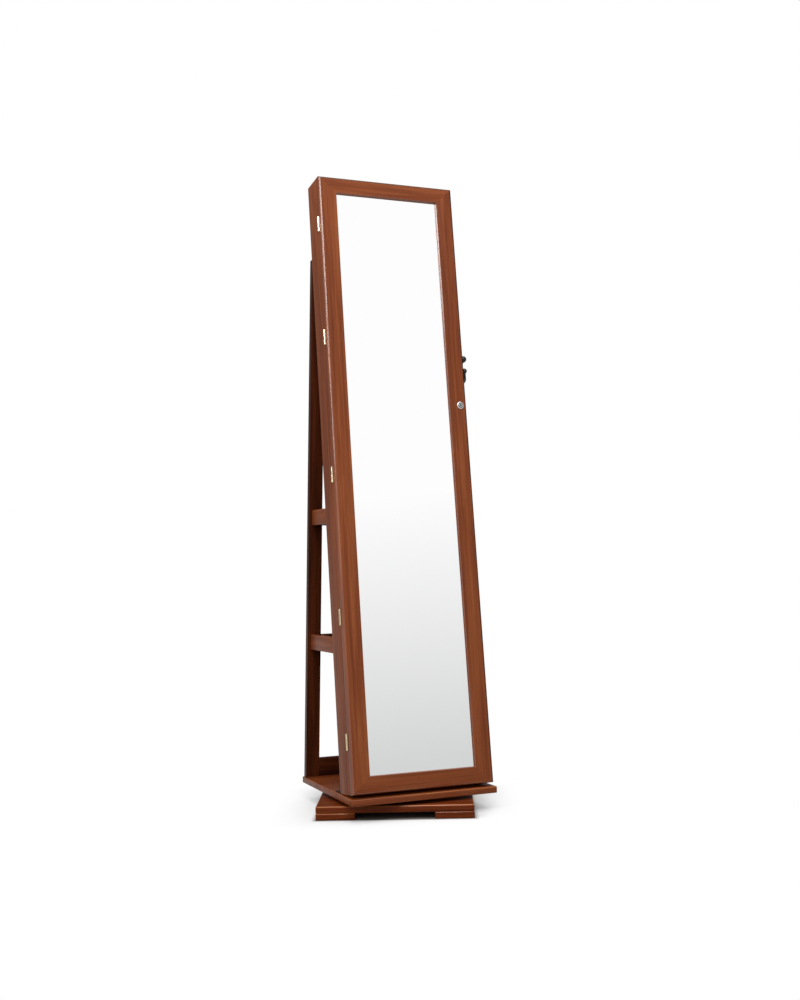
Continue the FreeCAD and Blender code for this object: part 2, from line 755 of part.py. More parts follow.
def add_hooks(body, name, count, width, margin, root_y, middle_z, reach, sign):
    """A row of hooks bent from flat strip; sign is the way along Y that they stand out."""
    def out(far):
        return f"{root_y} {sign} ({far})"

    low = f"{middle_z} - hook_strip_thick / 2"
    high = f"{middle_z} + hook_strip_thick / 2"
    tip = f"{high} + hook_tip"
    points = [(out("0"), low), (out(f"{reach} - hook_bevel"), low), (out(reach), f"{low} + hook_bevel"),
              (out(f"{reach} + hook_lean"), tip), (out(f"{reach} + hook_lean - hook_strip_thick"), tip),
              (out(f"{reach} - hook_strip_thick"), high), (out("0"), high)]
    for number in range(int(read(count))):
        x = f"-({width}) / 2 + {margin} + {number} * (({width}) - 2 * {margin}) / ({count} - 1)"
        pad(body, f"{name}_{number}", "YZ", points, "hook_strip_wide", f"{x} - hook_strip_wide / 2")


def make_necklace_hooks():
    rail_face = "-fit_back - hook_rail_thick"
    rail = new_part("necklace_rail", "cabinet")
    block(rail, "necklace_rail_bar", ("2 * inner_half", "hook_rail_thick", "hook_rail_tall"),
          ("-inner_half", "-fit_back - hook_rail_thick", "hook_rail_up"))
    soften(rail, "necklace_rail_ease", "case_round",
           lambda edge: lies_at(edge, "Y", rail_face) and edge.BoundBox.XLength > edge.BoundBox.ZLength)
    hooks = new_part("necklace_hooks", "cabinet")
    add_hooks(hooks, "necklace_hook", "case_hook_count", "2 * inner_half", "case_hook_margin",
              rail_face, "hook_rail_up + hook_rail_tall / 2", "hook_reach", "-")


def door_member(label, plane, profile, long, mitre_points):
    """A moulded frame member with mitred ends."""
    body = new_part(label, "cabinet")
    pad(body, label + "_length", plane, profile, long)
    for number, points in enumerate(mitre_points, start=1):
        cut_through(body, f"{label}_mitre_{number}", "XZ", points, "cabinet_deep + overrun")
    return body


def make_door_frame():
    front = "-cabinet_deep"
    glass_front = "(-cabinet_deep + glass_recess)"
    rear = "-door_back"

    for label, sign in (("door_stile_left", "-"), ("door_stile_right", "")):
        outer, inner, bite = f"{sign}half_wide", f"{sign}opening_half", f"{sign}glass_half"
        profile = [(outer, rear), (outer, front), (inner, front),
                   (inner, glass_front), (bite, glass_front), (bite, rear)]
        past = f"{sign}(opening_half - overrun)"
        slope = "door_rail_wide * (stile_wide + overrun) / stile_wide"
        low = [(outer, "0"), (past, slope), (past, "-overrun"), (outer, "-overrun")]
        top = "cabinet_tall"
        beyond = f"{top} + overrun"
        high = [(outer, top), (past, f"{top} - {slope}"), (past, beyond), (outer, beyond)]
        stile = door_member(label, "XY", profile, "cabinet_tall", (low, high))
        soften(stile, label + "_round", "door_edge_round",
               lambda edge: lies_at(edge, "Y", front) and lies_at(edge, "X", outer))
        if sign == "-":
            cut_hinge_seats(stile, "door", "-door_back - leaf_sink", "case_leaf_end")
        else:
            bore_at = ("lock_x", rear, "lock_up")
            rod(stile, "lock_bore", "barrel_radius", "door_thick + overrun", bore_at, "front", cut=True)

    tall = "cabinet_tall"
    for label, outer, step in (("door_rail_bottom", "0", "+"), ("door_rail_top", tall, "-")):
        inner, bite = f"{outer} {step} door_rail_wide", f"{outer} {step} glass_low"
        profile = [(rear, outer), (front, outer), (front, inner),
                   (glass_front, inner), (glass_front, bite), (rear, bite)]
        ends = []
        for sign in ("-", ""):
            deep = f"{outer} {step} (door_rail_wide + overrun)"
            run = "(half_wide - stile_wide * (door_rail_wide + overrun) / door_rail_wide)"
            beyond = f"{sign}(half_wide + overrun)"
            corner = (f"{sign}half_wide", outer)
            ends.append([corner, (f"{sign}{run}", deep), (beyond, deep), (beyond, outer)])
        body = new_part(label, "cabinet")
        pad(body, label + "_length", "YZ", profile, "cabinet_wide", "-half_wide")
        soften(body, label + "_round", "door_edge_round",
               lambda edge: lies_at(edge, "Y", front) and lies_at(edge, "Z", outer))
        for number, points in enumerate(ends, start=1):
            cut_through(body, f"{label}_mitre_{number}", "XZ", points, "cabinet_deep + overrun")

    glass = new_part("mirror_glass", "cabinet")
    block(glass, "glass_sheet", ("2 * glass_half", "glass_thick", "glass_tall"),
          ("-glass_half", glass_front, "glass_low"))
    backing = new_part("mirror_backing", "cabinet")
    block(backing, "backing_panel", ("2 * glass_half", "backing_thick", "glass_tall"),
          ("-glass_half", "-door_back - backing_thick", "glass_low"))


def make_door_fittings():
    rear = "-door_back"
    vanity = new_part("vanity_mirror", "cabinet")
    block(vanity, "vanity_sheet", ("vanity_wide", "vanity_thick", "vanity_tall"),
          ("-vanity_wide / 2", rear, "vanity_up"))
    soften(vanity, "vanity_corners", "vanity_round",
           lambda edge: near(edge.BoundBox.XLength, 0) and near(edge.BoundBox.ZLength, 0))

    rail = new_part("door_hook_rail", "cabinet")
    block(rail, "door_rail_bar", ("door_rail_long", "door_rail_thick", "door_rail_tall"),
          ("-door_rail_long / 2", rear, "door_rail_up"))
    hooks = new_part("door_hooks", "cabinet")
    add_hooks(hooks, "door_hook", "door_hook_count", "door_rail_long", "door_hook_margin",
              f"{rear} + door_rail_thick", "door_rail_up + door_rail_tall / 2", "door_hook_reach", "+")

    panel = new_part("earring_panel", "cabinet")
    y = f"{rear} + earring_stand"
    block(panel, "earring_sheet", ("earring_wide", "earring_thick", "earring_tall"),
          ("-earring_wide / 2", y, "earring_up"))
    flange = ("earring_thick", "earring_stand", "earring_tall")
    for number, x in enumerate(("-earring_wide / 2", "earring_wide / 2 - earring_thick"), start=1):
        block(panel, f"earring_flange_{number}", flange, (x, rear, "earring_up"))
    slot_long = "earring_wide - 2 * earring_slot_margin"
    slot = block(panel, "earring_slot", (slot_long, "earring_thick", "earring_slot_wide"),
                 (f"-({slot_long}) / 2", y, "earring_up + earring_slot_margin"), cut=True)
    row = panel.newObject("PartDesign::LinearPattern", "slot_row")
    row.Originals = [slot]
    row.Direction = (origin_part(panel, "Z_Axis"), [""])
    bind(row, "Length", "earring_tall - 2 * earring_slot_margin - earring_slot_wide")
    bind(row, "Occurrences", "earring_slot_count")
    panel.Tip = row


def make_hinges():
    """Five butt hinges: three case knuckles hold the pin that the two door knuckles between them turn on."""
    case_leaf = new_part("hinge_leaves_case", "cabinet")
    door_leaf = new_part("hinge_leaves_door", "cabinet")
    leaves = ((case_leaf, "case", (0, 2, 4), "-case_deep - leaf_thick + leaf_sink"),
              (door_leaf, "door", (1, 3), "-door_back - leaf_sink"))
    for number, middle in enumerate(hinge_middles(), start=1):
        low = f"({middle} - hinge_long / 2)"
        for body, name, knuckles, leaf_y in leaves:
            block(body, f"{name}_leaf_{number}", ("leaf_start - case_leaf_end", "leaf_thick", "hinge_long"),
                  ("-leaf_start", leaf_y, low))
            for index in knuckles:
                foot = f"{low} + {index} * knuckle_pitch"
                tab = ("pivot_x - leaf_start", "leaf_thick", "knuckle_long")
                block(body, f"{name}_tab_{number}_{index}", tab, ("-pivot_x", leaf_y, foot))
                rod(body, f"{name}_knuckle_{number}_{index}", "knuckle_radius", "knuckle_long",
                    ("-pivot_x", "-pivot_y", foot))
        at = ("-pivot_x", "-pivot_y", low)
        rod(case_leaf, f"pin_{number}", "pin_radius", "hinge_long", at)
        rod(door_leaf, f"bore_{number}", "pin_radius + pin_clearance", "hinge_long", at, cut=True)


def make_lock():
    barrel = new_part("lock_barrel", "cabinet")

    def axis(y):
        return ("lock_x", y, "lock_up")

    rod(barrel, "lock_bezel", "bezel_radius", "bezel_thick", axis("-cabinet_deep"), "front")
    bezel_face = "-cabinet_deep - bezel_thick"
    bevel(barrel, "lock_dome", "bezel_bevel", lambda edge: lies_at(edge, "Y", bezel_face))
    rod(barrel, "lock_body", "barrel_radius", "cabinet_deep - barrel_rear", axis("-cabinet_deep"), "back")
    through = "cabinet_deep - barrel_rear + bezel_thick + 2 * overrun"
    hole_at = axis(f"{bezel_face} - overrun")
    rod(barrel, "lock_hole", "plug_radius + plug_clearance", through, hole_at, "back", cut=True)

    nut = new_part("lock_nut", "cabinet")
    prism = nut.newObject("PartDesign::AdditivePrism", "nut_blank")
    bind(prism, "Circumradius", "nut_corner_radius")
    bind(prism, "Height", "nut_thick")
    corner_turn = FreeCAD.Rotation(FreeCAD.Vector(0, 0, 1), 30)
    prism.Placement = FreeCAD.Placement(FreeCAD.Vector(), TURNS["back"] * corner_turn)
    add_place(prism, axis("-door_back"))
    rod(nut, "nut_bore", "barrel_radius", "nut_thick", axis("-door_back"), "back", cut=True)

    plug = new_part("lock_plug", "cabinet")
    face = "-cabinet_deep - bezel_thick - plug_proud"
    plug_long = "cabinet_deep - cam_front + bezel_thick + plug_proud"
    rod(plug, "plug_turning", "plug_radius", plug_long, axis(face), "back")
    rod(plug, "plug_tang", "tang_radius", "cam_thick", axis("-cam_front"), "back")
    block(plug, "keyway", ("keyway_wide", "keyway_deep", "keyway_tall"),
          ("lock_x - keyway_wide / 2", face, "lock_up - keyway_tall / 2"), cut=True)

    cam = new_part("lock_cam", "cabinet")
    arm = "cam_reach - cam_half_wide"
    rod(cam, "cam_eye", "cam_half_wide", "cam_thick", axis("-cam_front"), "back")
    tip_up = f"lock_up - ({arm})"
    block(cam, "cam_arm", ("2 * cam_half_wide", "cam_thick", arm),
          ("lock_x - cam_half_wide", "-cam_front", tip_up))
    rod(cam, "cam_tip", "cam_half_wide", "cam_thick", ("lock_x", "-cam_front", tip_up), "back")
    rod(cam, "cam_hole", "tang_radius", "cam_thick", axis("-cam_front"), "back", cut=True)


def make_catch():
    magnet = new_part("magnet_catch", "cabinet")
    top = "cabinet_tall - catch_drop"
    block(magnet, "magnet_case", ("catch_wide", "catch_deep", "catch_tall"),
          ("inner_half - catch_wide", "-door_back + catch_plate_thick + catch_gap", f"{top} - catch_tall"))
    plate = new_part("catch_plate", "cabinet")
    plate_low = f"{top} - catch_tall / 2 - catch_plate_tall / 2"
    block(plate, "strike_plate", ("catch_plate_wide", "catch_plate_thick", "catch_plate_tall"),
          ("inner_half - catch_plate_wide - leaf_land", "-door_back", plate_low))


def make_coat_hook():
    """A double hook cast with its plate: a lower arm bends up to a knob, an upper arm slants out to one."""
    hook = new_part("coat_hook", "cabinet")
    y = "(coat_hook_behind - cabinet_deep)"
    block(hook, "hook_plate", ("coat_plate_thick", "coat_plate_wide", "coat_plate_tall"),
          ("half_wide", f"{y} - coat_plate_wide / 2", "coat_plate_up"))
    soften(hook, "hook_plate_round", "coat_plate_round",
           lambda edge: near(edge.BoundBox.YLength, 0) and near(edge.BoundBox.ZLength, 0))
    wire, thick = "coat_wire_radius", "2 * coat_wire_radius"
    bend_x = "coat_wire_x + coat_bend_radius"
    near_y = f"{y} - {wire}"
    bend_at = (bend_x, f"{y} + {wire}", "coat_bend_up")
    rod(hook, "hook_bend", f"coat_bend_radius + {wire}", thick, bend_at, "front")
    rod(hook, "hook_bend_inside", f"coat_bend_radius - {wire}", thick, bend_at, "front", cut=True)
    across = "2 * (coat_bend_radius + coat_wire_radius)"
    top_at = ("coat_plate_face", near_y, "coat_bend_up")
    block(hook, "hook_bend_top", (across, thick, across), top_at, cut=True)

    tip_x = "coat_wire_x + 2 * coat_bend_radius"
    block(hook, "hook_rise", (thick, thick, "coat_tip_up - coat_bend_up"),
          (f"{tip_x} - {wire}", near_y, "coat_bend_up"))
    ball_x = "half_wide + coat_ball_out"
    arm = [(f"coat_wire_x - {wire}", "coat_bend_up"), (f"coat_wire_x + {wire}", "coat_bend_up"),
           (f"coat_wire_x + {wire}", "coat_arm_up"), (f"{ball_x} + {wire} / 2", "coat_ball_up"),
           (f"{ball_x} - {wire}", f"coat_ball_up + {wire}"),
           (f"coat_wire_x - {wire}", f"coat_arm_up + {wire}")]
    forward = f"-{y} - {wire}"
    pad(hook, "hook_arm", "XZ", arm, thick, forward)
    turned_knob(hook, "hook_tip", "coat_tip_radius", "XZ", f"-{y}", (tip_x, "coat_tip_up"))
    turned_knob(hook, "hook_ball", "coat_ball_radius", "XZ", f"-{y}", (ball_x, "coat_ball_up"))
    screws = new_part("coat_hook_screws", "cabinet")
    for number in (1, 2):
        at = ("coat_plate_face", y, coat_screw_height(number))
        rod(hook, f"hook_hole_{number}", "screw_radius", "coat_plate_thick", at, "left", cut=True)
        add_screw(screws, f"coat_screw_{number}", at, "left", "coat_plate_thick + side_thick")


def check_and_save():
    """Stops on any failed object or bad solid, then writes one file for each sub-part."""
    model.recompute()
    for item in model.Objects:
        failed = [state for state in item.State if state in ("Invalid", "Error")]
        if failed:
            raise RuntimeError(f"{item.Label} is {failed[0]}")
    os.makedirs("parts", exist_ok=True)
    for label, body in SUBPARTS.items():
        shape = body.Shape
        if shape is None or shape.isNull() or not shape.isValid() or not shape.Solids:
            raise RuntimeError(f"{label} has no valid solid")
        shape.exportStep(f"parts/{label}.step")
        print(label, len(shape.Solids), round(shape.Volume))


make_stand()
make_swivel()
make_turntable()
make_rear_frame()
make_supports()
make_case()
make_inner_shelves()
make_ring_cushion()
make_hanging_rod()
make_necklace_hooks()
make_door_frame()
make_door_fittings()
make_hinges()
make_lock()
make_catch()
make_coat_hook()
check_and_save()
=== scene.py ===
import json
import math

import bmesh
import bpy
import numpy as np
from mathutils import Matrix, Vector


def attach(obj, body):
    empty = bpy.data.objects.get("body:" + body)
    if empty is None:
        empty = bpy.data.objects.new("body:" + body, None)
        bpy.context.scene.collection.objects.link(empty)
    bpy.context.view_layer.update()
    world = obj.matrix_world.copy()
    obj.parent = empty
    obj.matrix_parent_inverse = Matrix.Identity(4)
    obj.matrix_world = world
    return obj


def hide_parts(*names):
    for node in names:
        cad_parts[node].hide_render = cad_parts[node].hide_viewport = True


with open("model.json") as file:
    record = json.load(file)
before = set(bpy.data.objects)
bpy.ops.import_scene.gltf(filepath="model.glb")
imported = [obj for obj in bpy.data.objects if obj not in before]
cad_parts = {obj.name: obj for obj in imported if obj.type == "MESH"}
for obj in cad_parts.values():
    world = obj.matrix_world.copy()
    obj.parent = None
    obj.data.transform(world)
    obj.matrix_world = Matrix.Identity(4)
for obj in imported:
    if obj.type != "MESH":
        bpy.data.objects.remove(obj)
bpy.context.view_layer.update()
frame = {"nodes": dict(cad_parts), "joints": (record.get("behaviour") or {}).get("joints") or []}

# A rotating mirrored jewelry armoire in cherry-coloured laminate. Metres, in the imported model's
# frame: the floor is Z = 0, the swivel axis is Z, the mirror faces -Y and leans back.

# Directions: the case's from its hinge, the posts' slant, and the base's turn under the turntable
hinge_joint = next(joint for joint in frame["joints"] if joint["name"] == "door_hinge")
case_up = -Vector(hinge_joint["axis"])
case_right = Vector((1, 0, 0))
case_back = case_up.cross(case_right)
front_to_back = Vector((0, 1, 0))
post_up = Vector((0, -0.095, 1))
stand_turn = math.radians(-23.6)
stand_right = Vector((math.cos(stand_turn), math.sin(stand_turn), 0))

# Limits of the mesh work: the turn that makes an edge sharp, the cosine over which a face is square to an
# axis, the cosine with two axes that a mitre has, and how near a point of the solids counts as in place
SHARP_TURN = math.radians(40)
SQUARE = 0.985
MITRED = 0.5
CLOSE = 1e-4


# Colours as linear RGB
def from_hex(code):
    """Linear RGBA of a display colour."""
    parts = [int(code[place:place + 2], 16) / 255 for place in (0, 2, 4)]
    linear = [part / 12.92 if part <= 0.04045 else ((part + 0.055) / 1.055) ** 2.4 for part in parts]
    return (*linear, 1.0)


def tones(*codes):
    """The dark, middle and light colour of a wood."""
    return tuple(from_hex(code) for code in codes)


CHERRY_TONES = tones("602b12", "7b3d1d", "904f2a")
# Edge tones: glossier wood whose middle and light tones are a little lighter than the case's, a painted
# highlight on the door frame's roundings and easings.
EDGE_TONES = tones("602b12", "7e3e1d", "9a562c")
# Darker tones for the outer roundings of the right stile and the top rail: painted shade along the edges that
# turn away from the light.
SHADED_RIM_TONES = tones("35180b", "4a2210", "5a2c15")
# Dark tones for the rear posts and rails: painted shade, since they stand behind the case.
REAR_SHADE_TONES = tones("2a1006", "431c0b", "5a2a13")
# Near-black tones for the tilt wedges: painted shade of the gap under the leaning case.
WEDGE_SHADE_TONES = tones("2a1006", "2a1006", "431c0b")
# Base tones: darker and more saturated than the case, partly the base's own tone and partly painted shade
# under the turntable's overhang.
STAND_TONE_AND_SHADE = tones("421706", "64290d", "803d14")
# Much lighter tones for the upward roundings of the base, its feet and the turntable: a painted highlight
# where light from above falls on those edges.
PAINTED_HIGHLIGHT_TONES = tones("6e3314", "94501f", "b36c36")
INNER_TONES = tones("43200f", "6d4a33", "6f3d20")
HARDBOARD_TONES = tones("43200f", "6f3d20", "6d4a33")
VELVET_BLACK = from_hex("1b1a1d")
VELVET_SHEEN = from_hex("2d2b31")
BRASS = from_hex("efdcb6")
CHROME = from_hex("dcdddf")
SATIN_NICKEL = from_hex("a9a7a4")
ZINC = from_hex("b5b6b6")
ENAMEL_BLACK = from_hex("060607")
NYLON = from_hex("d9d5c8")
# Near-black for the keyway and the groove round the plug: painted shade in those recesses.
KEYWAY_PAINTED_SHADE = from_hex("0b0b0c")
# Dark brown for the rear brackets: painted shade of the dark gap behind the case that they sit in.
BRACKET_SHADE_BROWN = from_hex("2b160c")
SILVER = from_hex("fdfdfd")


class Wiring:
    """Short calls for making and linking the nodes of one tree."""

    def __init__(self, tree):
        self.tree = tree

    def add(self, kind, settings=None, **inputs):
        node = self.tree.nodes.new("ShaderNode" + kind)
        for name, value in (settings or {}).items():
            setattr(node, name, value)
        for name, value in inputs.items():
            self.feed(node, name.replace("_", " "), value)
        return node

    def feed(self, node, name, value):
        socket = node.inputs[int(name)] if name.isdigit() else node.inputs[name]
        if isinstance(value, bpy.types.NodeSocket):
            self.tree.links.new(value, socket)
        else:
            socket.default_value = value

    def math(self, operation, first, second=0.0):
        node = self.add("Math", {"operation": operation})
        self.feed(node, "0", first)
        self.feed(node, "1", second)
        return node.outputs[0]

    def span(self, value, low, high, to_low=0.0, to_high=1.0):
        """The value moved from one range to another, kept inside it."""
        node = self.add("MapRange", Value=value, From_Min=low, From_Max=high, To_Min=to_low, To_Max=to_high)
        return node.outputs[0]

    def blend(self, amount, first, second):
        """Two colours mixed; a colour mix has its amount in socket 0 and its colours in 6 and 7."""
        node = self.add("Mix", {"data_type": "RGBA"})
        for socket, item in (("0", amount), ("6", first), ("7", second)):
            self.feed(node, socket, item)
        return node.outputs[2]

    def noise(self, vector, scale, detail=3.0, roughness=0.5, distortion=0.0):
        node = self.add("TexNoise", Vector=vector, Scale=scale, Detail=detail, Roughness=roughness,
                        Distortion=distortion)
        return node.outputs["Fac"]

    def stretched(self, vector, scale):
        return self.add("Mapping", Vector=vector, Scale=scale).outputs["Vector"]


def new_group(name, inputs, outputs):
    """An empty shader group with named sockets, its wiring and its two end nodes."""
    group = bpy.data.node_groups.new(name, "ShaderNodeTree")
    for way, sockets in (("INPUT", inputs), ("OUTPUT", outputs)):
        for label, kind in sockets:
            group.interface.new_socket(name=label, in_out=way, socket_type="NodeSocket" + kind)
    wire = Wiring(group)
    return group, wire, group.nodes.new("NodeGroupInput"), group.nodes.new("NodeGroupOutput")


def make_grain_group():
    """Cherry figure along the vector's Z: broad flame bands, fine streaks and short dark pores."""
    group, wire, given, made = new_group(
        "laminate_grain",
        (("Vector", "Vector"), ("Dark", "Color"), ("Middle", "Color"), ("Light", "Color")),
        (("Color", "Color"), ("Roughness", "Float"), ("Height", "Float")))
    vector = given.outputs["Vector"]
    broad = wire.stretched(vector, (1, 1, 0.055))
    bands = wire.noise(broad, 34.0, detail=4.0, roughness=0.55, distortion=1.0)
    streaks = wire.noise(wire.stretched(vector, (1, 1, 0.018)), 210.0, roughness=0.6)
    cloud = wire.noise(wire.stretched(vector, (1, 1, 0.25)), 5.0, detail=2.0)
    pores = wire.noise(wire.stretched(vector, (1, 1, 0.05)), 620.0, detail=1.0)
    figure = wire.math("ADD", wire.math("MULTIPLY", bands, 0.46), wire.math("MULTIPLY", streaks, 0.40))
    figure = wire.math("ADD", figure, wire.math("MULTIPLY", cloud, 0.14))
    low = wire.blend(wire.span(figure, 0.36, 0.50), given.outputs["Dark"], given.outputs["Middle"])
    tone = wire.blend(wire.span(figure, 0.49, 0.66), low, given.outputs["Light"])
    pore = wire.span(pores, 0.62, 0.72, to_high=0.35)
    tone = wire.blend(pore, tone, given.outputs["Dark"])
    group.links.new(tone, made.inputs["Color"])
    group.links.new(wire.span(figure, 0.3, 0.7, to_low=0.40, to_high=0.30), made.inputs["Roughness"])
    height = wire.math("SUBTRACT", wire.math("MULTIPLY", streaks, 0.5), pore)
    group.links.new(height, made.inputs["Height"])
    return group


def make_smudge_group():
    """Faint unevenness of a polished or painted face: a roughness and a height."""
    group, wire, given, made = new_group(
        "handled_finish", (("Vector", "Vector"), ("Least", "Float"), ("Most", "Float")),
        (("Roughness", "Float"), ("Height", "Float")))
    cloud = wire.noise(given.outputs["Vector"], 38.0, detail=4.0, roughness=0.6)
    fine = wire.noise(given.outputs["Vector"], 900.0, detail=2.0)
    roughness = wire.span(cloud, 0.35, 0.65, given.outputs["Least"], given.outputs["Most"])
    group.links.new(roughness, made.inputs["Roughness"])
    group.links.new(fine, made.inputs["Height"])
    return group


def make_velvet_group():
    """Short pile: a fine nap that leans in soft patches."""
    group, wire, given, made = new_group(
        "velvet_nap", (("Vector", "Vector"), ("Dark", "Color"), ("Light", "Color")),
        (("Color", "Color"), ("Height", "Float")))
    nap = wire.noise(given.outputs["Vector"], 2600.0, detail=2.0)
    patch = wire.noise(given.outputs["Vector"], 22.0, roughness=0.6, distortion=0.6)
    lean = wire.math("ADD", wire.math("MULTIPLY", patch, 0.6), wire.math("MULTIPLY", nap, 0.4))
    tone = wire.blend(wire.span(lean, 0.35, 0.65), given.outputs["Dark"], given.outputs["Light"])
    group.links.new(tone, made.inputs["Color"])
    group.links.new(nap, made.inputs["Height"])
    return group


grain_group = make_grain_group()
smudge_group = make_smudge_group()
velvet_group = make_velvet_group()


def new_material(name):
    """A material with its wiring, its Principled shader and the Object coordinates."""
    material = bpy.data.materials.new(name)
    material.use_nodes = True
    wire = Wiring(material.node_tree)
    shader = material.node_tree.nodes["Principled BSDF"]
    place = wire.add("TexCoord").outputs["Object"]
    return material, wire, shader, place


def place_group(wire, group):
    node = wire.tree.nodes.new("ShaderNodeGroup")
    node.node_tree = group
    return node


def add_bump(wire, shader, height, strength, distance):
    bump = wire.add("Bump", Strength=strength, Distance=distance)
    wire.feed(bump, "Height", height)
    wire.feed(shader, "Normal", bump.outputs["Normal"])


def make_wood(name, along, colours=CHERRY_TONES, coat=0.06, gloss=0.14):
    """Laminate whose grain runs along a direction of the row frame."""
    material, wire, shader, place = new_material(name)
    turn = along.rotation_difference(Vector((0, 0, 1))).to_euler()
    aligned = wire.add("Mapping", Rotation=turn, Vector=place).outputs["Vector"]
    grain = place_group(wire, grain_group)
    wire.feed(grain, "Vector", aligned)
    for socket, colour in zip(("Dark", "Middle", "Light"), colours):
        wire.feed(grain, socket, colour)
    wire.feed(shader, "Base Color", grain.outputs["Color"])
    wire.feed(shader, "Roughness", grain.outputs["Roughness"])
    shader.inputs["Coat Weight"].default_value = coat
    shader.inputs["Coat Roughness"].default_value = 0.15
    shader.inputs["Specular IOR Level"].default_value = gloss
    add_bump(wire, shader, grain.outputs["Height"], strength=0.12, distance=0.0004)
    return material


def make_handled(name, colour, least, most, strength, distance, **plain):
    """A faintly uneven surface whose roughness goes from the least to the most; plain names the shader's
    other sockets and their values."""
    material, wire, shader, place = new_material(name)
    smudge = place_group(wire, smudge_group)
    for socket, value in (("Vector", place), ("Least", least), ("Most", most)):
        wire.feed(smudge, socket, value)
    shader.inputs["Base Color"].default_value = colour
    for socket, value in plain.items():
        shader.inputs[socket.replace("_", " ")].default_value = value
    wire.feed(shader, "Roughness", smudge.outputs["Roughness"])
    add_bump(wire, shader, smudge.outputs["Height"], strength, distance)
    return material


def make_metal(name, colour, least, most):
    """Plated metal with a faintly uneven polish."""
    return make_handled(name, colour, least, most, 0.05, 0.00005, Metallic=1.0)


def make_paint(name, colour, least, most, coat=0.0, gloss=0.5):
    """Enamel or moulded plastic."""
    return make_handled(name, colour, least, most, 0.08, 0.00008, Coat_Weight=coat, Specular_IOR_Level=gloss)


def make_velvet(name, dark, light):
    """Black pile that shines a little at a slant."""
    material, wire, shader, place = new_material(name)
    nap = place_group(wire, velvet_group)
    wire.feed(nap, "Vector", place)
    wire.feed(nap, "Dark", dark)
    wire.feed(nap, "Light", light)
    wire.feed(shader, "Base Color", nap.outputs["Color"])
    shader.inputs["Roughness"].default_value = 0.95
    shader.inputs["Sheen Weight"].default_value = 0.35
    shader.inputs["Sheen Roughness"].default_value = 0.35
    add_bump(wire, shader, nap.outputs["Height"], strength=0.5, distance=0.0003)
    return material


def make_mirror(name):
    """Silvered glass: a sharp mirror with a hardly visible film."""
    material, wire, shader, place = new_material(name)
    film = wire.noise(place, 9.0)
    shader.inputs["Base Color"].default_value = SILVER
    shader.inputs["Metallic"].default_value = 1.0
    wire.feed(shader, "Roughness", wire.span(film, 0.3, 0.7, to_low=0.012, to_high=0.03))
    return material


finishes = {
    "upright": make_wood("cherry_upright", case_up),
    "across": make_wood("cherry_across", case_right),
    "deep": make_wood("cherry_deep", front_to_back),
    # Rear posts and rails: the same laminate, painted darker as shade.
    "post": make_wood("cherry_post_shaded", post_up, REAR_SHADE_TONES),
    "rear_across": make_wood("cherry_rear_across_shaded", case_right, REAR_SHADE_TONES),
    # Door frame roundings and easings: a real glossy coat, and a slightly lighter tone that paints a
    # highlight.
    "upright_edge": make_wood("cherry_upright_edge", case_up, EDGE_TONES, coat=1.0, gloss=0.5),
    "across_edge": make_wood("cherry_across_edge", case_right, EDGE_TONES, coat=1.0, gloss=0.5),
    # Outer roundings of the right stile and the top rail: painted shade.
    "upright_shaded_rim": make_wood("cherry_upright_shaded_rim", case_up, SHADED_RIM_TONES, coat=0.0, gloss=0.1),
    "across_shaded_rim": make_wood("cherry_across_shaded_rim", case_right, SHADED_RIM_TONES, coat=0.0, gloss=0.1),
    # Upward roundings of the turntable and the base: painted highlight.
    "table_edge": make_wood("cherry_table_highlight", case_right, PAINTED_HIGHLIGHT_TONES, coat=0.4, gloss=0.4),
    "stand_edge": make_wood("cherry_stand_highlight", stand_right, PAINTED_HIGHLIGHT_TONES, coat=0.4, gloss=0.4),
    # Base board and feet: their own tone, darkened further as painted shade.
    "stand": make_wood("cherry_stand", stand_right, STAND_TONE_AND_SHADE, coat=0.0, gloss=0.1),
    # Tilt wedges: painted shade.
    "wedge": make_wood("cherry_wedge_shaded", front_to_back, WEDGE_SHADE_TONES, coat=0.0),
    "inner_across": make_wood("inner_across", case_right, INNER_TONES, coat=0.1),
    "hardboard": make_wood("hardboard", case_up, HARDBOARD_TONES, coat=0.0),
    "velvet": make_velvet("black_velvet", VELVET_BLACK, VELVET_SHEEN),
    "mirror": make_mirror("silvered_glass"),
    "brass": make_metal("polished_brass", BRASS, 0.14, 0.26),
    "chrome": make_metal("chrome_plate", CHROME, 0.06, 0.14),
    "satin": make_metal("satin_nickel", SATIN_NICKEL, 0.22, 0.34),
    "zinc": make_metal("zinc_plate", ZINC, 0.28, 0.42),
    "enamel": make_paint("black_enamel", ENAMEL_BLACK, 0.08, 0.18, coat=0.2, gloss=0.35),
    "keyway": make_paint("keyway_shade", KEYWAY_PAINTED_SHADE, 0.5, 0.7, gloss=0.1),
    "flocked": make_paint("flocked_plastic", VELVET_BLACK, 0.7, 0.85),
    # Rear brackets: painted shade.
    "bracket_shade": make_paint("bracket_painted_shade", BRACKET_SHADE_BROWN, 0.5, 0.65, gloss=0.3),
    "nylon": make_paint("natural_nylon", NYLON, 0.45, 0.6),
}

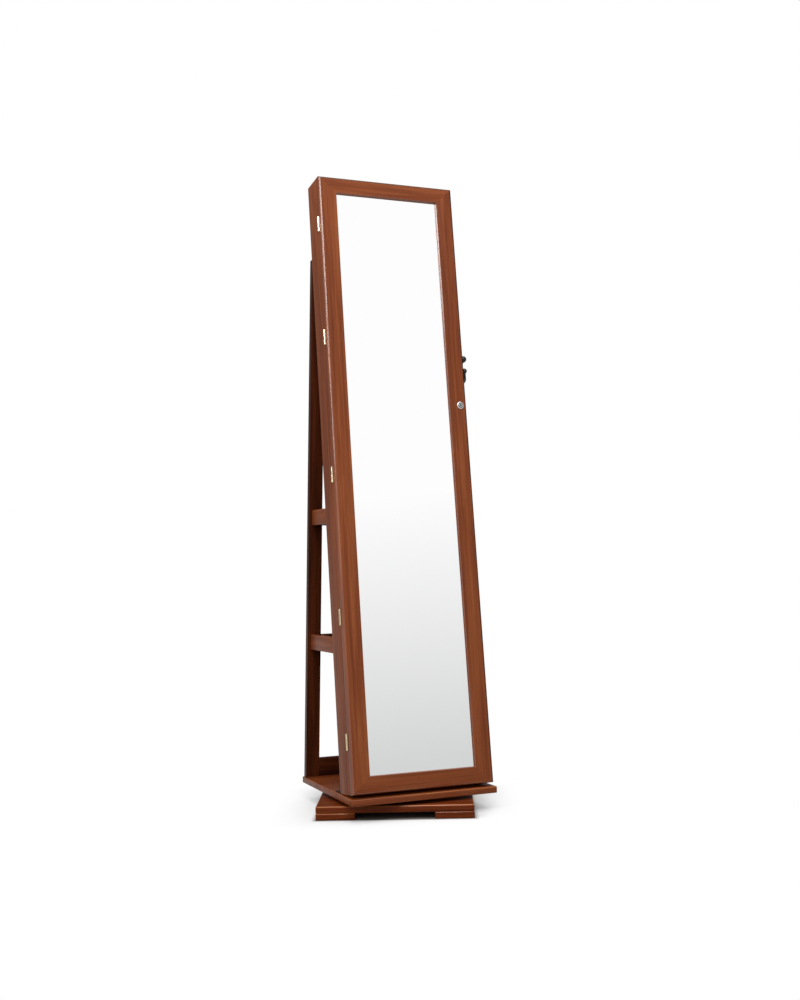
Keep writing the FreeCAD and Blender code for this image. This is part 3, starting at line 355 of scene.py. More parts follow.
NODE_FINISHES = {
    "upright": ("case_side_left", "case_side_right", "door_stile_left", "door_stile_right"),
    "across": ("turntable_board", "door_rail_bottom", "door_rail_top", "case_bottom", "case_top",
               "lower_shelf", "upper_shelf"),
    "rear_across": ("rear_rail_bottom", "rear_rail_lower", "rear_rail_upper"),
    "deep": ("lower_side_rail_left", "lower_side_rail_right", "upper_side_rail_left",
             "upper_side_rail_right"),
    "wedge": ("tilt_wedges",),
    "post": ("rear_post_left", "rear_post_right"),
    "stand": ("base_board", "base_feet"),
    "inner_across": ("inner_shelf_low", "inner_shelf_mid", "inner_shelf_high", "shelf_fences",
                     "necklace_rail", "door_hook_rail", "ring_board"),
    "hardboard": ("case_back", "mirror_backing"),
    "velvet": ("case_lining", "ring_rolls"),
    "mirror": ("mirror_glass", "vanity_mirror"),
    "brass": ("hinge_leaves_case", "hinge_leaves_door", "necklace_hooks", "door_hooks", "bracelet_rod",
              "rod_sockets"),
    "chrome": ("lock_barrel", "lock_cam", "lock_nut"),
    "satin": ("lock_plug",),
    "zinc": ("swivel_lower_plate", "swivel_upper_plate", "swivel_lower_screws", "swivel_upper_screws",
             "post_screws", "coat_hook_screws", "swivel_rollers", "catch_plate"),
    "bracket_shade": ("rear_brackets",),
    "enamel": ("coat_hook",),
    "flocked": ("earring_panel",),
    "nylon": ("swivel_cage", "magnet_catch"),
}


def finish_nodes():
    """Gives every carried-over node its finish."""
    for finish, names in NODE_FINISHES.items():
        for name in names:
            node = frame["nodes"][name]
            node.data.materials.clear()
            node.data.materials.append(finishes[finish])
    dressed = {name for names in NODE_FINISHES.values() for name in names}
    bare = set(frame["nodes"]) - dressed
    if bare:
        raise RuntimeError(f"nodes with no finish: {sorted(bare)}")


finish_nodes()


# Axes of the leaning case, of the turned base and of the level turntable
def case_axes():
    return np.array([case_right, case_back, case_up])


def stand_axes():
    return np.array([stand_right, (-stand_right.y, stand_right.x, 0), (0, 0, 1)])


def level_axes():
    return np.eye(3)


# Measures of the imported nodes
def mesh_points(mesh):
    """A mesh's corner points, one per row."""
    points = np.empty(len(mesh.vertices) * 3)
    mesh.vertices.foreach_get("co", points)
    return points.reshape(-1, 3)


def node_points(name, axes):
    """A node's corner points measured along three axes."""
    return mesh_points(frame["nodes"][name].data) @ axes.T


def box_of(name, axes, keep=None):
    """Lowest and highest reach of a node along three axes."""
    points = node_points(name, axes)
    if keep is not None:
        points = points[keep(points)]
    return points.min(axis=0), points.max(axis=0)


def box_corners(low, high, axes):
    """Eight corners, indexed by low or high on each axis, in the row frame."""
    pick = np.indices((2, 2, 2)).reshape(3, -1).T
    corners = np.where(pick == 1, high, low) @ axes
    return corners.reshape(2, 2, 2, 3)


def tapered_corners(name, axes):
    """Corners of a node whose two ends along the third axis have their own reach along the second."""
    points = node_points(name, axes)
    corners = np.empty((2, 2, 2, 3))
    for end, level in enumerate((points[:, 2].min(), points[:, 2].max())):
        slice_points = points[np.abs(points[:, 2] - level) < 2 * CLOSE]
        low, high = slice_points.min(axis=0), slice_points.max(axis=0)
        for side in (0, 1):
            for back in (0, 1):
                x = (low, high)[side][0]
                y = (low, high)[back][1]
                corners[side, back, end] = np.array((x, y, level)) @ axes
    return corners


# Meshes and pieces
def dress_roundings(mesh, axes, finish, upper=False):
    """Gives the faces that lie square to none of the axes, and are no mitre, one more finish; of a board that
    lies flat only those that face up, the roundings that light from above falls on, which take a painted
    highlight. A mitre has more area than a strip of a rounding."""
    mitre_area, facing_up = 1e-5, 0.3
    mesh.materials.append(finishes[finish])
    for face in mesh.polygons:
        lean = np.abs(axes @ np.array(face.normal))
        mitred = lean[0] > MITRED and lean[2] > MITRED and face.area > mitre_area
        if lean.max() < SQUARE and (face.normal.z > facing_up if upper else not mitred):
            face.material_index = len(mesh.materials) - 1


def new_mesh(name, points, faces, merge=None):
    """A mesh from arrays. With a merge distance its near points become one and its faces turn outwards."""
    mesh = bpy.data.meshes.new(name)
    mesh.from_pydata(points.reshape(-1, 3).tolist(), [], faces)
    if merge:
        tidy = bmesh.new()
        tidy.from_mesh(mesh)
        bmesh.ops.remove_doubles(tidy, verts=tidy.verts, dist=merge)
        bmesh.ops.recalc_face_normals(tidy, faces=tidy.faces)
        tidy.to_mesh(mesh)
        tidy.free()
    return mesh


def add_object(name, data):
    """A new object in the scene."""
    made = bpy.data.objects.new(name, data)
    bpy.context.scene.collection.objects.link(made)
    return made


def make_piece(name, points, faces, body, finish, replaces, edge=None):
    """A smooth-shaded mesh from arrays, riding a body and dressed in a finish, in the place of nodes; edge
    is the axes of a board and the finish of its roundings."""
    mesh = new_mesh(name, points, faces, merge=2e-6)
    mesh.shade_smooth()
    mesh.set_sharp_from_angle(angle=SHARP_TURN)
    mesh.materials.append(finishes[finish])
    if edge:
        dress_roundings(mesh, *edge, upper=True)
    piece = add_object(name, mesh)
    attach(piece, body)
    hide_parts(*replaces)
    return piece


def grid_faces(rows, columns, start=0, close_rows=False, close_columns=False):
    """Quads between neighbouring points of a grid stored row by row."""
    row = np.arange(rows if close_rows else rows - 1)[:, None]
    column = np.arange(columns if close_columns else columns - 1)[None, :]
    next_row = (row + 1) % rows
    next_column = (column + 1) % columns
    quads = np.stack([row * columns + column, row * columns + next_column,
                      next_row * columns + next_column, next_row * columns + column], axis=-1)
    return (quads.reshape(-1, 4) + start).tolist()


def eased_board(corners, corner_round=0.0012, ease=0.0012, steps=4):
    """Points and faces of a board. At angle a round the board and angle b from its rim, the point is the
    corner's centre plus (corner round - ease + ease cos b) outwards along a, and ease sin b up; the unit
    board so made is carried into the eight given corners by weighing them trilinearly."""
    size = np.array([np.linalg.norm(corners[1, 0, 0] - corners[0, 0, 0]),
                     np.linalg.norm(corners[0, 1, 0] - corners[0, 0, 0]),
                     np.linalg.norm(corners[0, 0, 1] - corners[0, 0, 0])])
    half = size / 2
    corner_round = max(corner_round, ease)
    quarter = np.linspace(0, np.pi / 2, steps + 1)
    around = np.concatenate([quarter + k * np.pi / 2 for k in range(4)])
    sign_x = np.repeat([1, -1, -1, 1], steps + 1)
    sign_y = np.repeat([1, 1, -1, -1], steps + 1)
    rise = np.concatenate([quarter - np.pi / 2, quarter])
    sign_z = np.repeat([-1, 1], steps + 1)
    reach = corner_round - ease + ease * np.cos(rise)[:, None]
    x = sign_x * (half[0] - corner_round) + reach * np.cos(around)
    y = sign_y * (half[1] - corner_round) + reach * np.sin(around)
    z = (sign_z * (half[2] - ease) + ease * np.sin(rise))[:, None] + np.zeros_like(x)
    share = np.stack([x / size[0], y / size[1], z / size[2]], axis=-1) + 0.5
    weights = [np.stack([1 - share[..., k], share[..., k]], axis=-1) for k in range(3)]
    points = np.einsum("rca,rcb,rcd,abdk->rck", weights[0], weights[1], weights[2], corners)
    rows, columns = points.shape[:2]
    faces = grid_faces(rows, columns, close_columns=True)
    faces.append(list(range(columns)))
    faces.append(list(range((rows - 1) * columns, rows * columns)))
    return points.reshape(-1, 3), faces


def join_shapes(shapes):
    """Several points-and-faces pairs as one."""
    points, faces, start = [], [], 0
    for some_points, some_faces in shapes:
        points.append(some_points.reshape(-1, 3))
        faces += [[index + start for index in face] for face in some_faces]
        start += len(points[-1])
    return np.concatenate(points), faces


def turned(profile, axis_at, along, side, steps):
    """A closed profile (radius, distance along the axis) turned about the axis: the point at angle a is the
    axis point plus radius times (side cos a + third direction sin a)."""
    profile = np.asarray(profile, float)
    along, side = np.asarray(along, float), np.asarray(side, float)
    third = np.cross(along, side)
    angle = np.linspace(0, 2 * np.pi, steps, endpoint=False)
    ring = np.cos(angle)[:, None] * side + np.sin(angle)[:, None] * third
    points = np.asarray(axis_at) + profile[:, 1][:, None, None] * along + profile[:, 0][:, None, None] * ring
    return points.reshape(-1, 3), grid_faces(len(profile), steps, close_rows=True, close_columns=True)


def carried(path, radii, flat_normal, sides):
    """A round profile carried along a flat path: at each station the ring lies in the plane of the path's
    own sideways direction and the flat's normal, at that station's radius. The ends close to a point. A
    first point that is doubled, for a flat end, runs as the second does."""
    path = np.asarray(path, float)
    run = np.gradient(path, axis=0)
    run[0] = run[1]
    run /= np.linalg.norm(run, axis=1)[:, None]
    normal = np.asarray(flat_normal, float)
    sideways = np.cross(normal, run)
    angle = np.linspace(0, 2 * np.pi, sides, endpoint=False)
    ring = (np.cos(angle)[None, :, None] * sideways[:, None, :] + np.sin(angle)[None, :, None] * normal)
    points = path[:, None, :] + np.asarray(radii)[:, None, None] * ring
    return points.reshape(-1, 3), grid_faces(len(path), sides, close_columns=True)


def arc(middle, radius, first, last, one, other, steps):
    """Points at middle + radius (one cos a + other sin a) for a from first to last degrees."""
    angle = np.radians(np.linspace(first, last, steps))[:, None]
    return np.asarray(middle) + radius * (np.cos(angle) * np.asarray(one) + np.sin(angle) * np.asarray(other))


def eased_copy(name, body, finish, width=0.0009, segments=2, broad=None, least=1.0, polish=None,
               outer=None):
    """A merged copy of a node that has seats, slots or bores, with its sharp edges eased. The edges round a
    mitre, a face that slants both across and up, stay sharp so that the joint closes. Where the edge passes
    the broad test it takes the whole width and the others the least share of it. Easings and the node's
    own roundings take the polish finish, or its roundings the outer one."""
    same_point, same_plane = 1e-6, math.radians(1)
    mesh = frame["nodes"][name].data.copy()
    tidy = bmesh.new()
    tidy.from_mesh(mesh)
    bmesh.ops.remove_doubles(tidy, verts=tidy.verts, dist=same_point)
    bmesh.ops.dissolve_limit(tidy, angle_limit=same_plane, verts=tidy.verts, edges=tidy.edges)
    weight = tidy.edges.layers.float.new("bevel_weight_edge")
    for edge in tidy.edges:
        mitred = any(min(abs(face.normal.dot(case_right)), abs(face.normal.dot(case_up))) > MITRED
                     for face in edge.link_faces)
        if edge.calc_face_angle(0.0) > SHARP_TURN and not mitred:
            edge[weight] = 1.0 if broad and broad(edge) else least
    tidy.to_mesh(mesh)
    tidy.free()
    mesh.materials.clear()
    mesh.materials.append(finishes[finish])
    if polish:
        mesh.materials.append(finishes[polish])
        dress_roundings(mesh, case_axes(), outer or polish)
    mesh.shade_smooth()
    mesh.set_sharp_from_angle(angle=SHARP_TURN)
    piece = add_object(name + "_eased", mesh)
    ease = piece.modifiers.new("ease", "BEVEL")
    ease.width = width
    ease.segments = segments
    ease.limit_method = "WEIGHT"
    ease.material = 1 if polish else -1
    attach(piece, body)
    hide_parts(name)
    return piece


# Boards
def board_from_box(name, body, finish, axes, corner_round, ease, edge=None):
    """An eased board in a node's box; edge is the finish of its roundings."""
    low, high = box_of(name, axes)
    shape = eased_board(box_corners(low, high, axes), corner_round, ease)
    make_piece(name + "_eased", *shape, body, finish, (name,), edge and (axes, edge))


def make_stand():
    axes = stand_axes()
    # The upward roundings of the base, feet and turntable take the painted highlight finish.
    board_from_box("base_board", "base", "stand", axes, corner_round=0.004, ease=0.003, edge="stand_edge")
    shapes = []
    for right in (-1, 1):
        for back in (-1, 1):
            low, high = box_of("base_feet", axes, lambda p: (p[:, 0] * right > 0) & (p[:, 1] * back > 0))
            shapes.append(eased_board(box_corners(low, high, axes), corner_round=0.004, ease=0.0025))
    make_piece("base_feet_eased", *join_shapes(shapes), "base", "stand", ("base_feet",), (axes, "stand_edge"))
    board_from_box("turntable_board", "turntable", "across", level_axes(), corner_round=0.004, ease=0.0018,
                   edge="table_edge")


def make_rear_frame():
    # The rear rails and posts take the painted shade tones; the side rails take the case's.
    rails = [("rear_rail_" + level, "rear_across") for level in ("bottom", "lower", "upper")]
    sides = ("left", "right")
    rails += [(f"{level}_side_rail_{side}", "deep") for level in ("lower", "upper") for side in sides]
    for name, finish in rails:
        shape = eased_board(tapered_corners(name, level_axes()))
        make_piece(name + "_eased", *shape, "turntable", finish, (name,))
    for side in sides:
        eased_copy("rear_post_" + side, "turntable", "post")


def make_case_boards():
    for name in ("case_top", "case_bottom", "inner_shelf_low", "inner_shelf_mid", "inner_shelf_high",
                 "necklace_rail", "ring_board"):
        finish = "across" if name.startswith("case") else "inner_across"
        board_from_box(name, "turntable", finish, case_axes(), corner_round=0.0008, ease=0.0008)
    for side in ("left", "right"):
        eased_copy("case_side_" + side, "turntable", "upright")
    eased_copy("shelf_fences", "turntable", "inner_across", width=0.0006)


def make_door_boards():
    """Frame members whose front edges round the glass have the broad easing. These easings and the outer
    roundings of the left stile and the bottom rail are polished, in a tone painted a little lighter as a
    highlight; the outer roundings of the right stile and the top rail are painted darker as shade."""
    axes = case_axes()
    front = box_of("door_stile_left", axes)[0][1]

    def bead(edge):
        """An edge in the frame's front face."""
        return all(abs(np.array(vert.co) @ axes[1] - front) < CLOSE for vert in edge.verts)

    # The third entry is the finish of the outer roundings: painted shade on the right stile and the top rail.
    members = (("door_stile_left", "upright", None), ("door_stile_right", "upright", "upright_shaded_rim"),
               ("door_rail_bottom", "across", None), ("door_rail_top", "across", "across_shaded_rim"))
    for name, finish, outer in members:
        eased_copy(name, "door", finish, width=0.002, segments=3, broad=bead, least=0.3,
                   polish=finish + "_edge", outer=outer)
    board_from_box("door_hook_rail", "door", "inner_across", axes, corner_round=0.0008, ease=0.0008)


# Coat hook
def make_coat_hook():
    """Cast hook: a plate, a lower arm carried down, round and up, and an upper arm that slants out. Each
    arm's radius grows into a knob, where it is the knob's radius times the cosine of the knob's angle."""
    axes = case_axes()
    low, high = box_of("coat_hook", axes)
    middle_y = (low[1] + high[1]) / 2
    plate_thick = 0.003
    outermost = np.array((low[0] + plate_thick, high[1], high[2]))
    flat = [1, 2, 0]
    plate = eased_board(box_corners(low[flat], outermost[flat], axes[flat]), corner_round=0.006, ease=0.001,
                        steps=6)

    right, up = axes[0], axes[2]
    wire, bend, tip_knob, top_knob = 0.0035, 0.010, 0.007, 0.0085
    bend_z, tip_z, top_z = low[2] + 0.023, low[2] + 0.044, low[2] + 0.075
    arm_long, slant_rise, swing_out = 0.034, 0.022, 0.0022
    root = low[0] + plate_thick + wire / 2

    def at(x, z):
        return np.array((x, middle_y, z)) @ axes

    def with_knob(path, knob):
        """The path's points near its end are spaced by the knob's own angle, and the radii follow it. The
        first point is doubled with no radius, for a flat end inside the plate."""
        run = path[-1] - path[-2]
        run /= np.linalg.norm(run)
        start = -math.sqrt(knob * knob - wire * wire)
        angle = np.linspace(math.asin(start / knob), math.pi / 2, 14)[1:]
        ends = path[-1] + (np.sin(angle) * knob)[:, None] * run
        keep = path[np.linalg.norm(path - path[-1], axis=1) > -start]
        near = path[-1] + start * run
        radii = np.concatenate([[0.0], np.full(len(keep) + 1, wire), knob * np.cos(angle)])
        return carried(np.concatenate([keep[:1], keep, near[None], ends]), radii, -axes[1], sides=24)

    down = np.linspace(at(root, bend_z + arm_long), at(root, bend_z), 8)
    turn = arc(at(root + bend, bend_z), bend, 180, 360, right, up, 22)
    rise = np.linspace(at(root + 2 * bend, bend_z), at(root + 2 * bend, tip_z), 8)
    lower = with_knob(np.concatenate([down, turn[1:-1], rise]), tip_knob)
    slant = np.linspace(at(root, bend_z + slant_rise), at(high[0] - top_knob, top_z), 14)
    swing = np.sin(np.linspace(0, np.pi, 14))[:, None] * swing_out
    upper = with_knob(slant + swing * (right - up) / math.sqrt(2), top_knob)
    shapes = join_shapes([plate, lower, upper])
    make_piece("coat_hook_cast", *shapes, "turntable", "enamel", ("coat_hook",))


# Lock
def make_lock():
    """Barrel turned about the lock's axis: a domed bezel with a groove round the plug whose faces are painted
    near-black as shade, a flange, a body with thread ridges and its bore. The profile's distances are from
    the bezel's front."""
    axes = case_axes()
    low, high = box_of("lock_barrel", axes)
    radius = (high[0] - low[0]) / 2
    rear = high[1] - low[1]
    at = np.array(((low[0] + high[0]) / 2, low[1], (low[2] + high[2]) / 2)) @ axes
    bezel, body, hole = 0.0024, 0.007, 0.00555
    groove, groove_deep, groove_lip = hole + 0.0013, 0.0016, 0.0001
    dome_wide, dome_low, dome_tall = 0.0026, bezel - 0.0002, bezel - 0.0003
    thread_start, pitch, thread_deep = bezel + 0.016, 0.001, 0.0004
    profile = [(hole, groove_deep), (groove, groove_lip)]
    profile += [(radius - dome_wide + dome_wide * math.cos(a), dome_low - dome_tall * math.sin(a))
                for a in np.radians(np.linspace(90, 0, 9))]
    profile += [(radius, bezel), (body, bezel), (body, thread_start - pitch / 2)]
    for number in range(int((rear - thread_start - pitch / 2) / pitch)):
        ridge = thread_start + number * pitch
        profile += [(body - thread_deep, ridge), (body, ridge + pitch / 2)]
    profile += [(body - thread_deep, rear), (hole, rear)]
    shape = turned(profile, at, axes[1], axes[0], steps=56)
    piece = make_piece("lock_barrel_turned", *shape, "door", "chrome", ("lock_barrel",))
    # The groove's faces take the near-black finish: painted shade in the recess.
    piece.data.materials.append(finishes["keyway"])
    for face in piece.data.polygons:
        offset = np.array(face.center) - at
        depth = offset @ axes[1]
        if np.linalg.norm(offset - depth * axes[1]) < groove and depth < groove_deep:
            face.material_index = 1


def make_plug():
    """Plug with its edges eased and its keyway painted near-black as shade."""
    axes = case_axes()
    low, high = box_of("lock_plug", axes)
    middle = (low + high) / 2
    keyway_half_wide, keyway_half_tall, largest_wall = 0.0012, 0.0036, 6e-5
    piece = eased_copy("lock_plug", "lock_plug", "satin", width=0.0003)
    # The keyway's walls take the near-black finish: painted shade.
    piece.data.materials.append(finishes["keyway"])
    for face in piece.data.polygons:
        ends = np.array([tuple(piece.data.vertices[index].co) for index in face.vertices]) @ axes.T
        reach = np.abs(ends - middle).max(axis=0)
        if reach[0] < keyway_half_wide and reach[2] < keyway_half_tall and face.area < largest_wall:
            face.material_index = 1


# Hinges
def make_hinges():
    """Leaves whose knuckles are well rounded at their ends, so that each shows as a bead."""
    axes = case_axes()
    low = box_of("hinge_leaves_case", axes)[0]
    radius = 0.0032
    pin = low[:2] + radius

    def collar(edge):
        """An edge round the end of a knuckle."""
        ends = np.array([tuple(vert.co) for vert in edge.verts]) @ axes.T
        level = abs(ends[0, 2] - ends[1, 2]) < CLOSE / 10
        return bool(level and np.all(np.abs(np.linalg.norm(ends[:, :2] - pin, axis=1) - radius) < CLOSE))

    for name, body in (("hinge_leaves_case", "turntable"), ("hinge_leaves_door", "door")):
        eased_copy(name, body, "brass", width=0.0013, segments=3, broad=collar, least=0.15)


# Hooks of the necklace rail and of the door
HOOK_ROSE = ((0.0, -0.0003), (0.0030, -0.0003), (0.0030, 0.0003), (0.0022, 0.0009), (0.0012, 0.0011),
             (0.0, 0.0011))


def make_hook_row(name, body, count, sign, reach):
    """Wire hooks carried from the rail outwards, round a small bend and up, each behind a round rose. They
    stand in the places of the node's strip hooks."""
    axes = case_axes()
    low, high = box_of(name, axes)
    wire, bend, half_strip, sunk = 0.0012, 0.0028, 0.0015, 0.0015
    wire_rise, tip_rise, lean = 0.001, 0.008, 0.0008
    root = high[1] if sign < 0 else low[1]
    outward = sign * axes[1]
    cap_angle = np.radians(np.linspace(0, 90, 5))[1:]
    shapes = []
    for x in np.linspace(low[0] + half_strip, high[0] - half_strip, count):
        begin = np.array((x, root, low[2] + wire_rise)) @ axes - outward * sunk
        straight = np.linspace(begin, begin + outward * (reach - wire - bend), 4)
        turn = arc(straight[-1] + axes[2] * bend, bend, -90, 0, outward, axes[2], 9)
        rise = np.linspace(turn[-1], turn[-1] + axes[2] * (tip_rise - bend - wire) + outward * lean, 4)
        cap = rise[-1] + np.sin(cap_angle)[:, None] * wire * axes[2]
        path = np.concatenate([straight[:1], straight, turn[1:], rise[1:], cap])
        radii = np.concatenate([[0.0], np.full(len(path) - len(cap) - 1, wire), wire * np.cos(cap_angle)])
        shapes.append(carried(path, radii, axes[0] * -sign, sides=10))
        shapes.append(turned(HOOK_ROSE, begin + outward * sunk, outward, axes[0], steps=14))
    make_piece(name + "_bent", *join_shapes(shapes), body, "brass", (name,))


# Ring cushion
def roll_shape(low, high, middle_y, middle_z, radius, axes):
    """One roll: within a cap's length of its ends the radius is multiplied by the sine of the angle whose
    cosine falls from 1 to 0 along the cap, and the side towards the board is cut flat."""
    cap, inset = 0.007, 0.0015
    around, rings, cap_rings = 28, 46, 9
    turn = np.radians(np.linspace(0, 90, cap_rings))
    start, end = low[0] + inset, high[0] - inset
    inner = np.linspace(start + cap, end - cap, rings)[1:-1]
    along = np.concatenate([start + cap * (1 - np.cos(turn)), inner, (end - cap * (1 - np.cos(turn)))[::-1]])
    size = np.concatenate([np.sin(turn), np.ones(len(inner)), np.sin(turn)[::-1]])[:, None] * radius
    angle = np.linspace(0, 2 * np.pi, around, endpoint=False)
    y = np.minimum(middle_y - size * np.cos(angle), high[1])
    z = middle_z + size * np.sin(angle)
    points = np.stack([np.broadcast_to(along[:, None], y.shape), y, z], axis=-1) @ axes
    return points.reshape(-1, 3), grid_faces(len(along), around, close_columns=True)


def remeshed(points, faces, voxel):
    """Points and quads of a shape after a voxel remesh."""
    mesh = new_mesh("roll_start", points, faces, merge=1e-5)
    rough = add_object("roll_start", mesh)
    grid = rough.modifiers.new("grid", "REMESH")
    grid.mode = "VOXEL"
    grid.voxel_size = voxel
    solid = rough.evaluated_get(bpy.context.evaluated_depsgraph_get()).to_mesh()
    found = mesh_points(solid)
    quads = [list(face.vertices) for face in solid.polygons]
    bpy.data.objects.remove(rough)
    bpy.data.meshes.remove(mesh)
    return found, quads


def stuffed(points, faces, frames=20):
    """The points after cloth under inner pressure has moved for some frames."""
    mesh = new_mesh("roll_cloth", points, faces)
    cover = add_object("roll_cloth", mesh)
    scene = bpy.context.scene
    cloth = cover.modifiers.new("cover", "CLOTH")
    cloth.settings.use_pressure = True
    cloth.settings.uniform_pressure_force = 4
    cloth.settings.effector_weights.gravity = 0
    cloth.point_cache.frame_start = 1
    cloth.point_cache.frame_end = frames
    for frame_number in range(1, frames + 1):
        scene.frame_set(frame_number)
    moved = mesh_points(cover.evaluated_get(bpy.context.evaluated_depsgraph_get()).to_mesh())
    scene.frame_set(1)
    bpy.data.objects.remove(cover)
    bpy.data.meshes.remove(mesh)
    return moved


def make_ring_rolls():
    """Eight stuffed rolls. Each cover starts small, swells as cloth, and is held to the cap, to half the
    distance to its neighbour and to the board behind."""
    axes = case_axes()
    low, high = box_of("ring_rolls", axes)
    count, solid_radius, cover_radius = 8, 0.010, 0.0088
    voxel, cap, bulge, half_gap = 0.004, 0.0016, 0.0008, 0.00005
    pitch = (high[2] - low[2] - 2 * solid_radius) / (count - 1)
    middles = low[2] + solid_radius + np.arange(count) * pitch
    shapes = [roll_shape(low, high, low[1] + solid_radius, middle, cover_radius, axes) for middle in middles]
    shapes = [remeshed(*shape, voxel) for shape in shapes]
    points, faces = join_shapes(shapes)
    shift = stuffed(points, faces) - points
    length = np.linalg.norm(shift, axis=1)[:, None]
    swollen = (points + shift * np.minimum(1, cap / np.maximum(length, 1e-9))) @ axes.T
    middle = np.concatenate([np.full(len(shape[0]), level) for shape, level in zip(shapes, middles)])
    reach = pitch / 2 - half_gap
    swollen[:, 2] = np.clip(swollen[:, 2], middle - reach, middle + reach)
    swollen[:, 0] = np.clip(swollen[:, 0], low[0], high[0])
    swollen[:, 1] = np.clip(swollen[:, 1], low[1] - bulge, high[1])
    points = swollen @ axes
    piece = make_piece("ring_rolls_stuffed", points, faces, "turntable", "velvet", ("ring_rolls",))
    smooth = piece.modifiers.new("smooth", "SUBSURF")
    smooth.levels = smooth.render_levels = 1


def make_lining():
    """Velvet-faced sheet glued to the back: a thin board whose front has a slow ripple, the sum of two
    slanting waves, that lies on average a quarter of a millimetre behind the solid's front."""
    axes = case_axes()
    low, high = box_of("case_lining", axes)
    columns, rows = 40, 120
    wave_height, set_back = 0.00012, 0.00025
    x = np.linspace(low[0], high[0], columns)[None, :]
    z = np.linspace(low[2], high[2], rows)[:, None]
    first_wave, second_wave = np.sin(x * 37 + z * 11), np.sin(z * 23 - x * 19)
    front = low[1] + set_back + wave_height * (first_wave + second_wave)
    back = np.full_like(front, high[1])
    points = np.concatenate([np.stack(np.broadcast_arrays(x, y, z), axis=-1) @ axes for y in (front, back)])
    count = rows * columns
    faces = grid_faces(rows, columns) + grid_faces(rows, columns, count)
    left_column = np.arange(rows) * columns
    top_row = (rows - 1) * columns + np.arange(columns)
    rim = np.concatenate([np.arange(columns), left_column[1:] + columns - 1, top_row[-2::-1],
                          left_column[-2:0:-1]])
    ahead = np.roll(rim, -1)
    faces += np.stack([rim, ahead, ahead + count, rim + count], axis=-1).tolist()
    make_piece("case_lining_velvet", points, faces, "turntable", "velvet", ("case_lining",))


make_stand()
make_rear_frame()
make_case_boards()
make_door_boards()
make_coat_hook()
make_lock()
make_plug()
make_hinges()
make_hook_row("necklace_hooks", "turntable", 12, sign=-1, reach=0.016)
make_hook_row("door_hooks", "door", 8, sign=1, reach=0.009)
make_ring_rolls()
make_lining()
eased_copy("vanity_mirror", "door", "mirror", width=0.0008, segments=3)


# Studio: floor, world, lamps and camera
WHITE = (1, 1, 1, 1)


def make_floor():
    """White floor: painted dark under the base and for a few millimetres round it as shade, lit by the lamps
    beyond, and fading to plain white around it, which reflections see as pale grey. Light that the floor
    gives back to the object is that of a darker floor."""
    painted_shade_under_base, open_floor = (0.22, 0.20, 0.19, 1), (0.88, 0.88, 0.88, 1)
    mirrored, mirrored_far, to_object = (0.62, 0.62, 0.61, 1), (0.64, 0.65, 0.64, 1), (0.36, 0.35, 0.34, 1)
    half_side, shade_wide, edge_wide, fade_from, fade_to = 30.0, 0.012, 0.004, -0.05, 0.13
    corners = np.array([(-1, -1, 0), (1, -1, 0), (1, 1, 0), (-1, 1, 0)]) * half_side
    mesh = new_mesh("studio_floor", corners, [(0, 1, 2, 3)])
    floor = add_object("studio_floor", mesh)
    material, wire, shader, place = new_material("studio_white")
    shader.inputs["Roughness"].default_value = 0.9
    shader.inputs["Specular IOR Level"].default_value = 0.0
    low, high = box_of("base_feet", stand_axes())
    turned_place = wire.add("Mapping", Rotation=(0, 0, -stand_turn), Vector=place).outputs["Vector"]
    axes = wire.add("SeparateXYZ", Vector=turned_place)
    past = [wire.math("MAXIMUM", wire.math("SUBTRACT", wire.math("ABSOLUTE", axes.outputs[label]), half), 0.0)
            for label, half in (("X", high[0]), ("Y", high[1]))]
    squares = [wire.math("MULTIPLY", item, item) for item in past]
    gap = wire.math("SQRT", wire.math("ADD", *squares))
    # Painted shade: the floor's colour is dark under the base and turns to the open floor's within a few
    # millimetres of it.
    shade = wire.blend(wire.span(gap, 0.0, shade_wide), painted_shade_under_base, open_floor)
    path = wire.add("LightPath")
    shade = wire.blend(path.outputs["Is Glossy Ray"], shade, mirrored)
    shade = wire.blend(path.outputs["Is Diffuse Ray"], shade, to_object)
    wire.feed(shader, "Base Color", shade)
    seen = wire.math("ADD", path.outputs["Is Camera Ray"], path.outputs["Is Glossy Ray"])
    backdrop = wire.blend(path.outputs["Is Glossy Ray"], WHITE, mirrored_far)
    white = wire.add("Emission", Color=backdrop, Strength=1.0)
    slow = {"interpolation_type": "SMOOTHSTEP"}
    fade = wire.add("MapRange", slow, Value=gap, From_Min=fade_from, From_Max=fade_to)
    past_edge = wire.span(gap, 0.0, edge_wide)
    share = wire.math("MULTIPLY", wire.math("MULTIPLY", fade.outputs[0], past_edge), seen)
    mixed = wire.add("MixShader")
    for socket, source in enumerate((share, shader.outputs[0], white.outputs[0])):
        wire.tree.links.new(source, mixed.inputs[socket])
    output = material.node_tree.nodes["Material Output"]
    wire.tree.links.new(mixed.outputs[0], output.inputs["Surface"])
    mesh.materials.append(material)


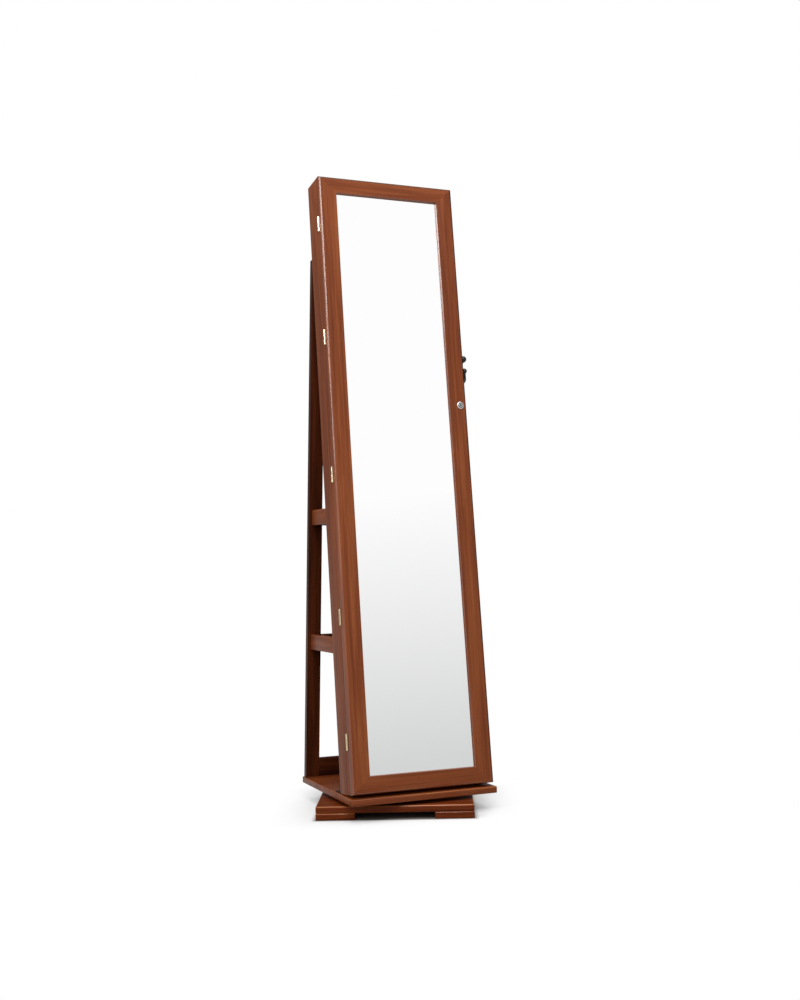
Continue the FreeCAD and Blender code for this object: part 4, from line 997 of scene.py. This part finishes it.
def make_world():
    """White to the camera. Reflections see a grey-to-white sweep in front of the object, plain pale grey to
    its sides and a dark room behind it, and the level light for the rest is stronger from the front."""
    sweep_foot, mirrored_behind = from_hex("d4d6d5"), (0.26, 0.25, 0.25, 1)
    mirrored_right, mirrored_left = (0.63, 0.63, 0.62, 1), (0.57, 0.57, 0.56, 1)
    from_front, from_behind, from_right = [(grey, grey, grey, 1) for grey in (0.62, 0.56, 0.38)]
    world = bpy.data.worlds.new("studio")
    bpy.context.scene.world = world
    world.use_nodes = True
    wire = Wiring(world.node_tree)
    background = world.node_tree.nodes["Background"]
    direction = wire.add("TexCoord").outputs["Generated"]
    parts = wire.add("SeparateXYZ", Vector=direction)
    sweep = wire.blend(wire.span(parts.outputs["Z"], 0.04, 0.255), sweep_foot, WHITE)
    behind = wire.span(parts.outputs["Y"], -0.45, 0.2)
    inside_left = wire.span(parts.outputs["X"], -0.45, 0.05)
    inside_right = wire.span(parts.outputs["X"], 0.60, 0.47)
    gloss = wire.blend(inside_right, mirrored_right, sweep)
    gloss = wire.blend(inside_left, mirrored_left, gloss)
    gloss = wire.blend(behind, gloss, mirrored_behind)
    level = wire.blend(behind, from_front, from_behind)
    level = wire.blend(wire.span(parts.outputs["X"], 0.15, 0.8), level, from_right)
    path = wire.add("LightPath")
    level = wire.blend(path.outputs["Is Glossy Ray"], level, gloss)
    level = wire.blend(path.outputs["Is Camera Ray"], level, WHITE)
    wire.tree.links.new(level, background.inputs["Color"])
    background.inputs["Strength"].default_value = 1.0


def make_lamp(name, place, aim_up, size, power):
    """A rectangular lamp that looks at a point of the swivel's axis."""
    data = bpy.data.lights.new(name, "AREA")
    data.shape = "RECTANGLE"
    data.size, data.size_y = size
    data.energy = power
    lamp = add_object(name, data)
    lamp.location = place
    lamp.rotation_euler = (Vector((0, 0, aim_up)) - Vector(place)).to_track_quat("-Z", "Y").to_euler()


def make_camera():
    """The photograph's view: yaw to the right of +Y, a small tilt up and a small roll."""
    yaw, tilt_up, roll = math.radians(22.327), math.radians(3.081), math.radians(1.262)
    ahead = Vector((math.sin(yaw) * math.cos(tilt_up), math.cos(yaw) * math.cos(tilt_up), math.sin(tilt_up)))
    right = Vector((math.cos(yaw), -math.sin(yaw), 0))
    above = right.cross(ahead)
    right_rolled = right * math.cos(roll) - above * math.sin(roll)
    above_rolled = above * math.cos(roll) + right * math.sin(roll)
    data = bpy.data.cameras.new("camera")
    data.sensor_width = 36
    data.lens = 44.04
    camera = add_object("camera", data)
    place = Matrix.Translation((-1.1394, -2.8368, 0.5871))
    camera.matrix_world = place @ Matrix((right_rolled, above_rolled, -ahead)).transposed().to_4x4()
    bpy.context.scene.camera = camera


make_floor()
make_world()
make_lamp("key", (-0.95, -2.3, 2.9), aim_up=1.0, size=(1.2, 1.2), power=50)
make_lamp("fill", (-2.6, -1.2, 2.2), aim_up=0.9, size=(0.45, 1.5), power=30)
make_lamp("top", (0.2, -0.2, 3.4), aim_up=0.6, size=(2.2, 2.2), power=30)
make_camera()
bpy.context.scene.view_settings.view_transform = "Standard"
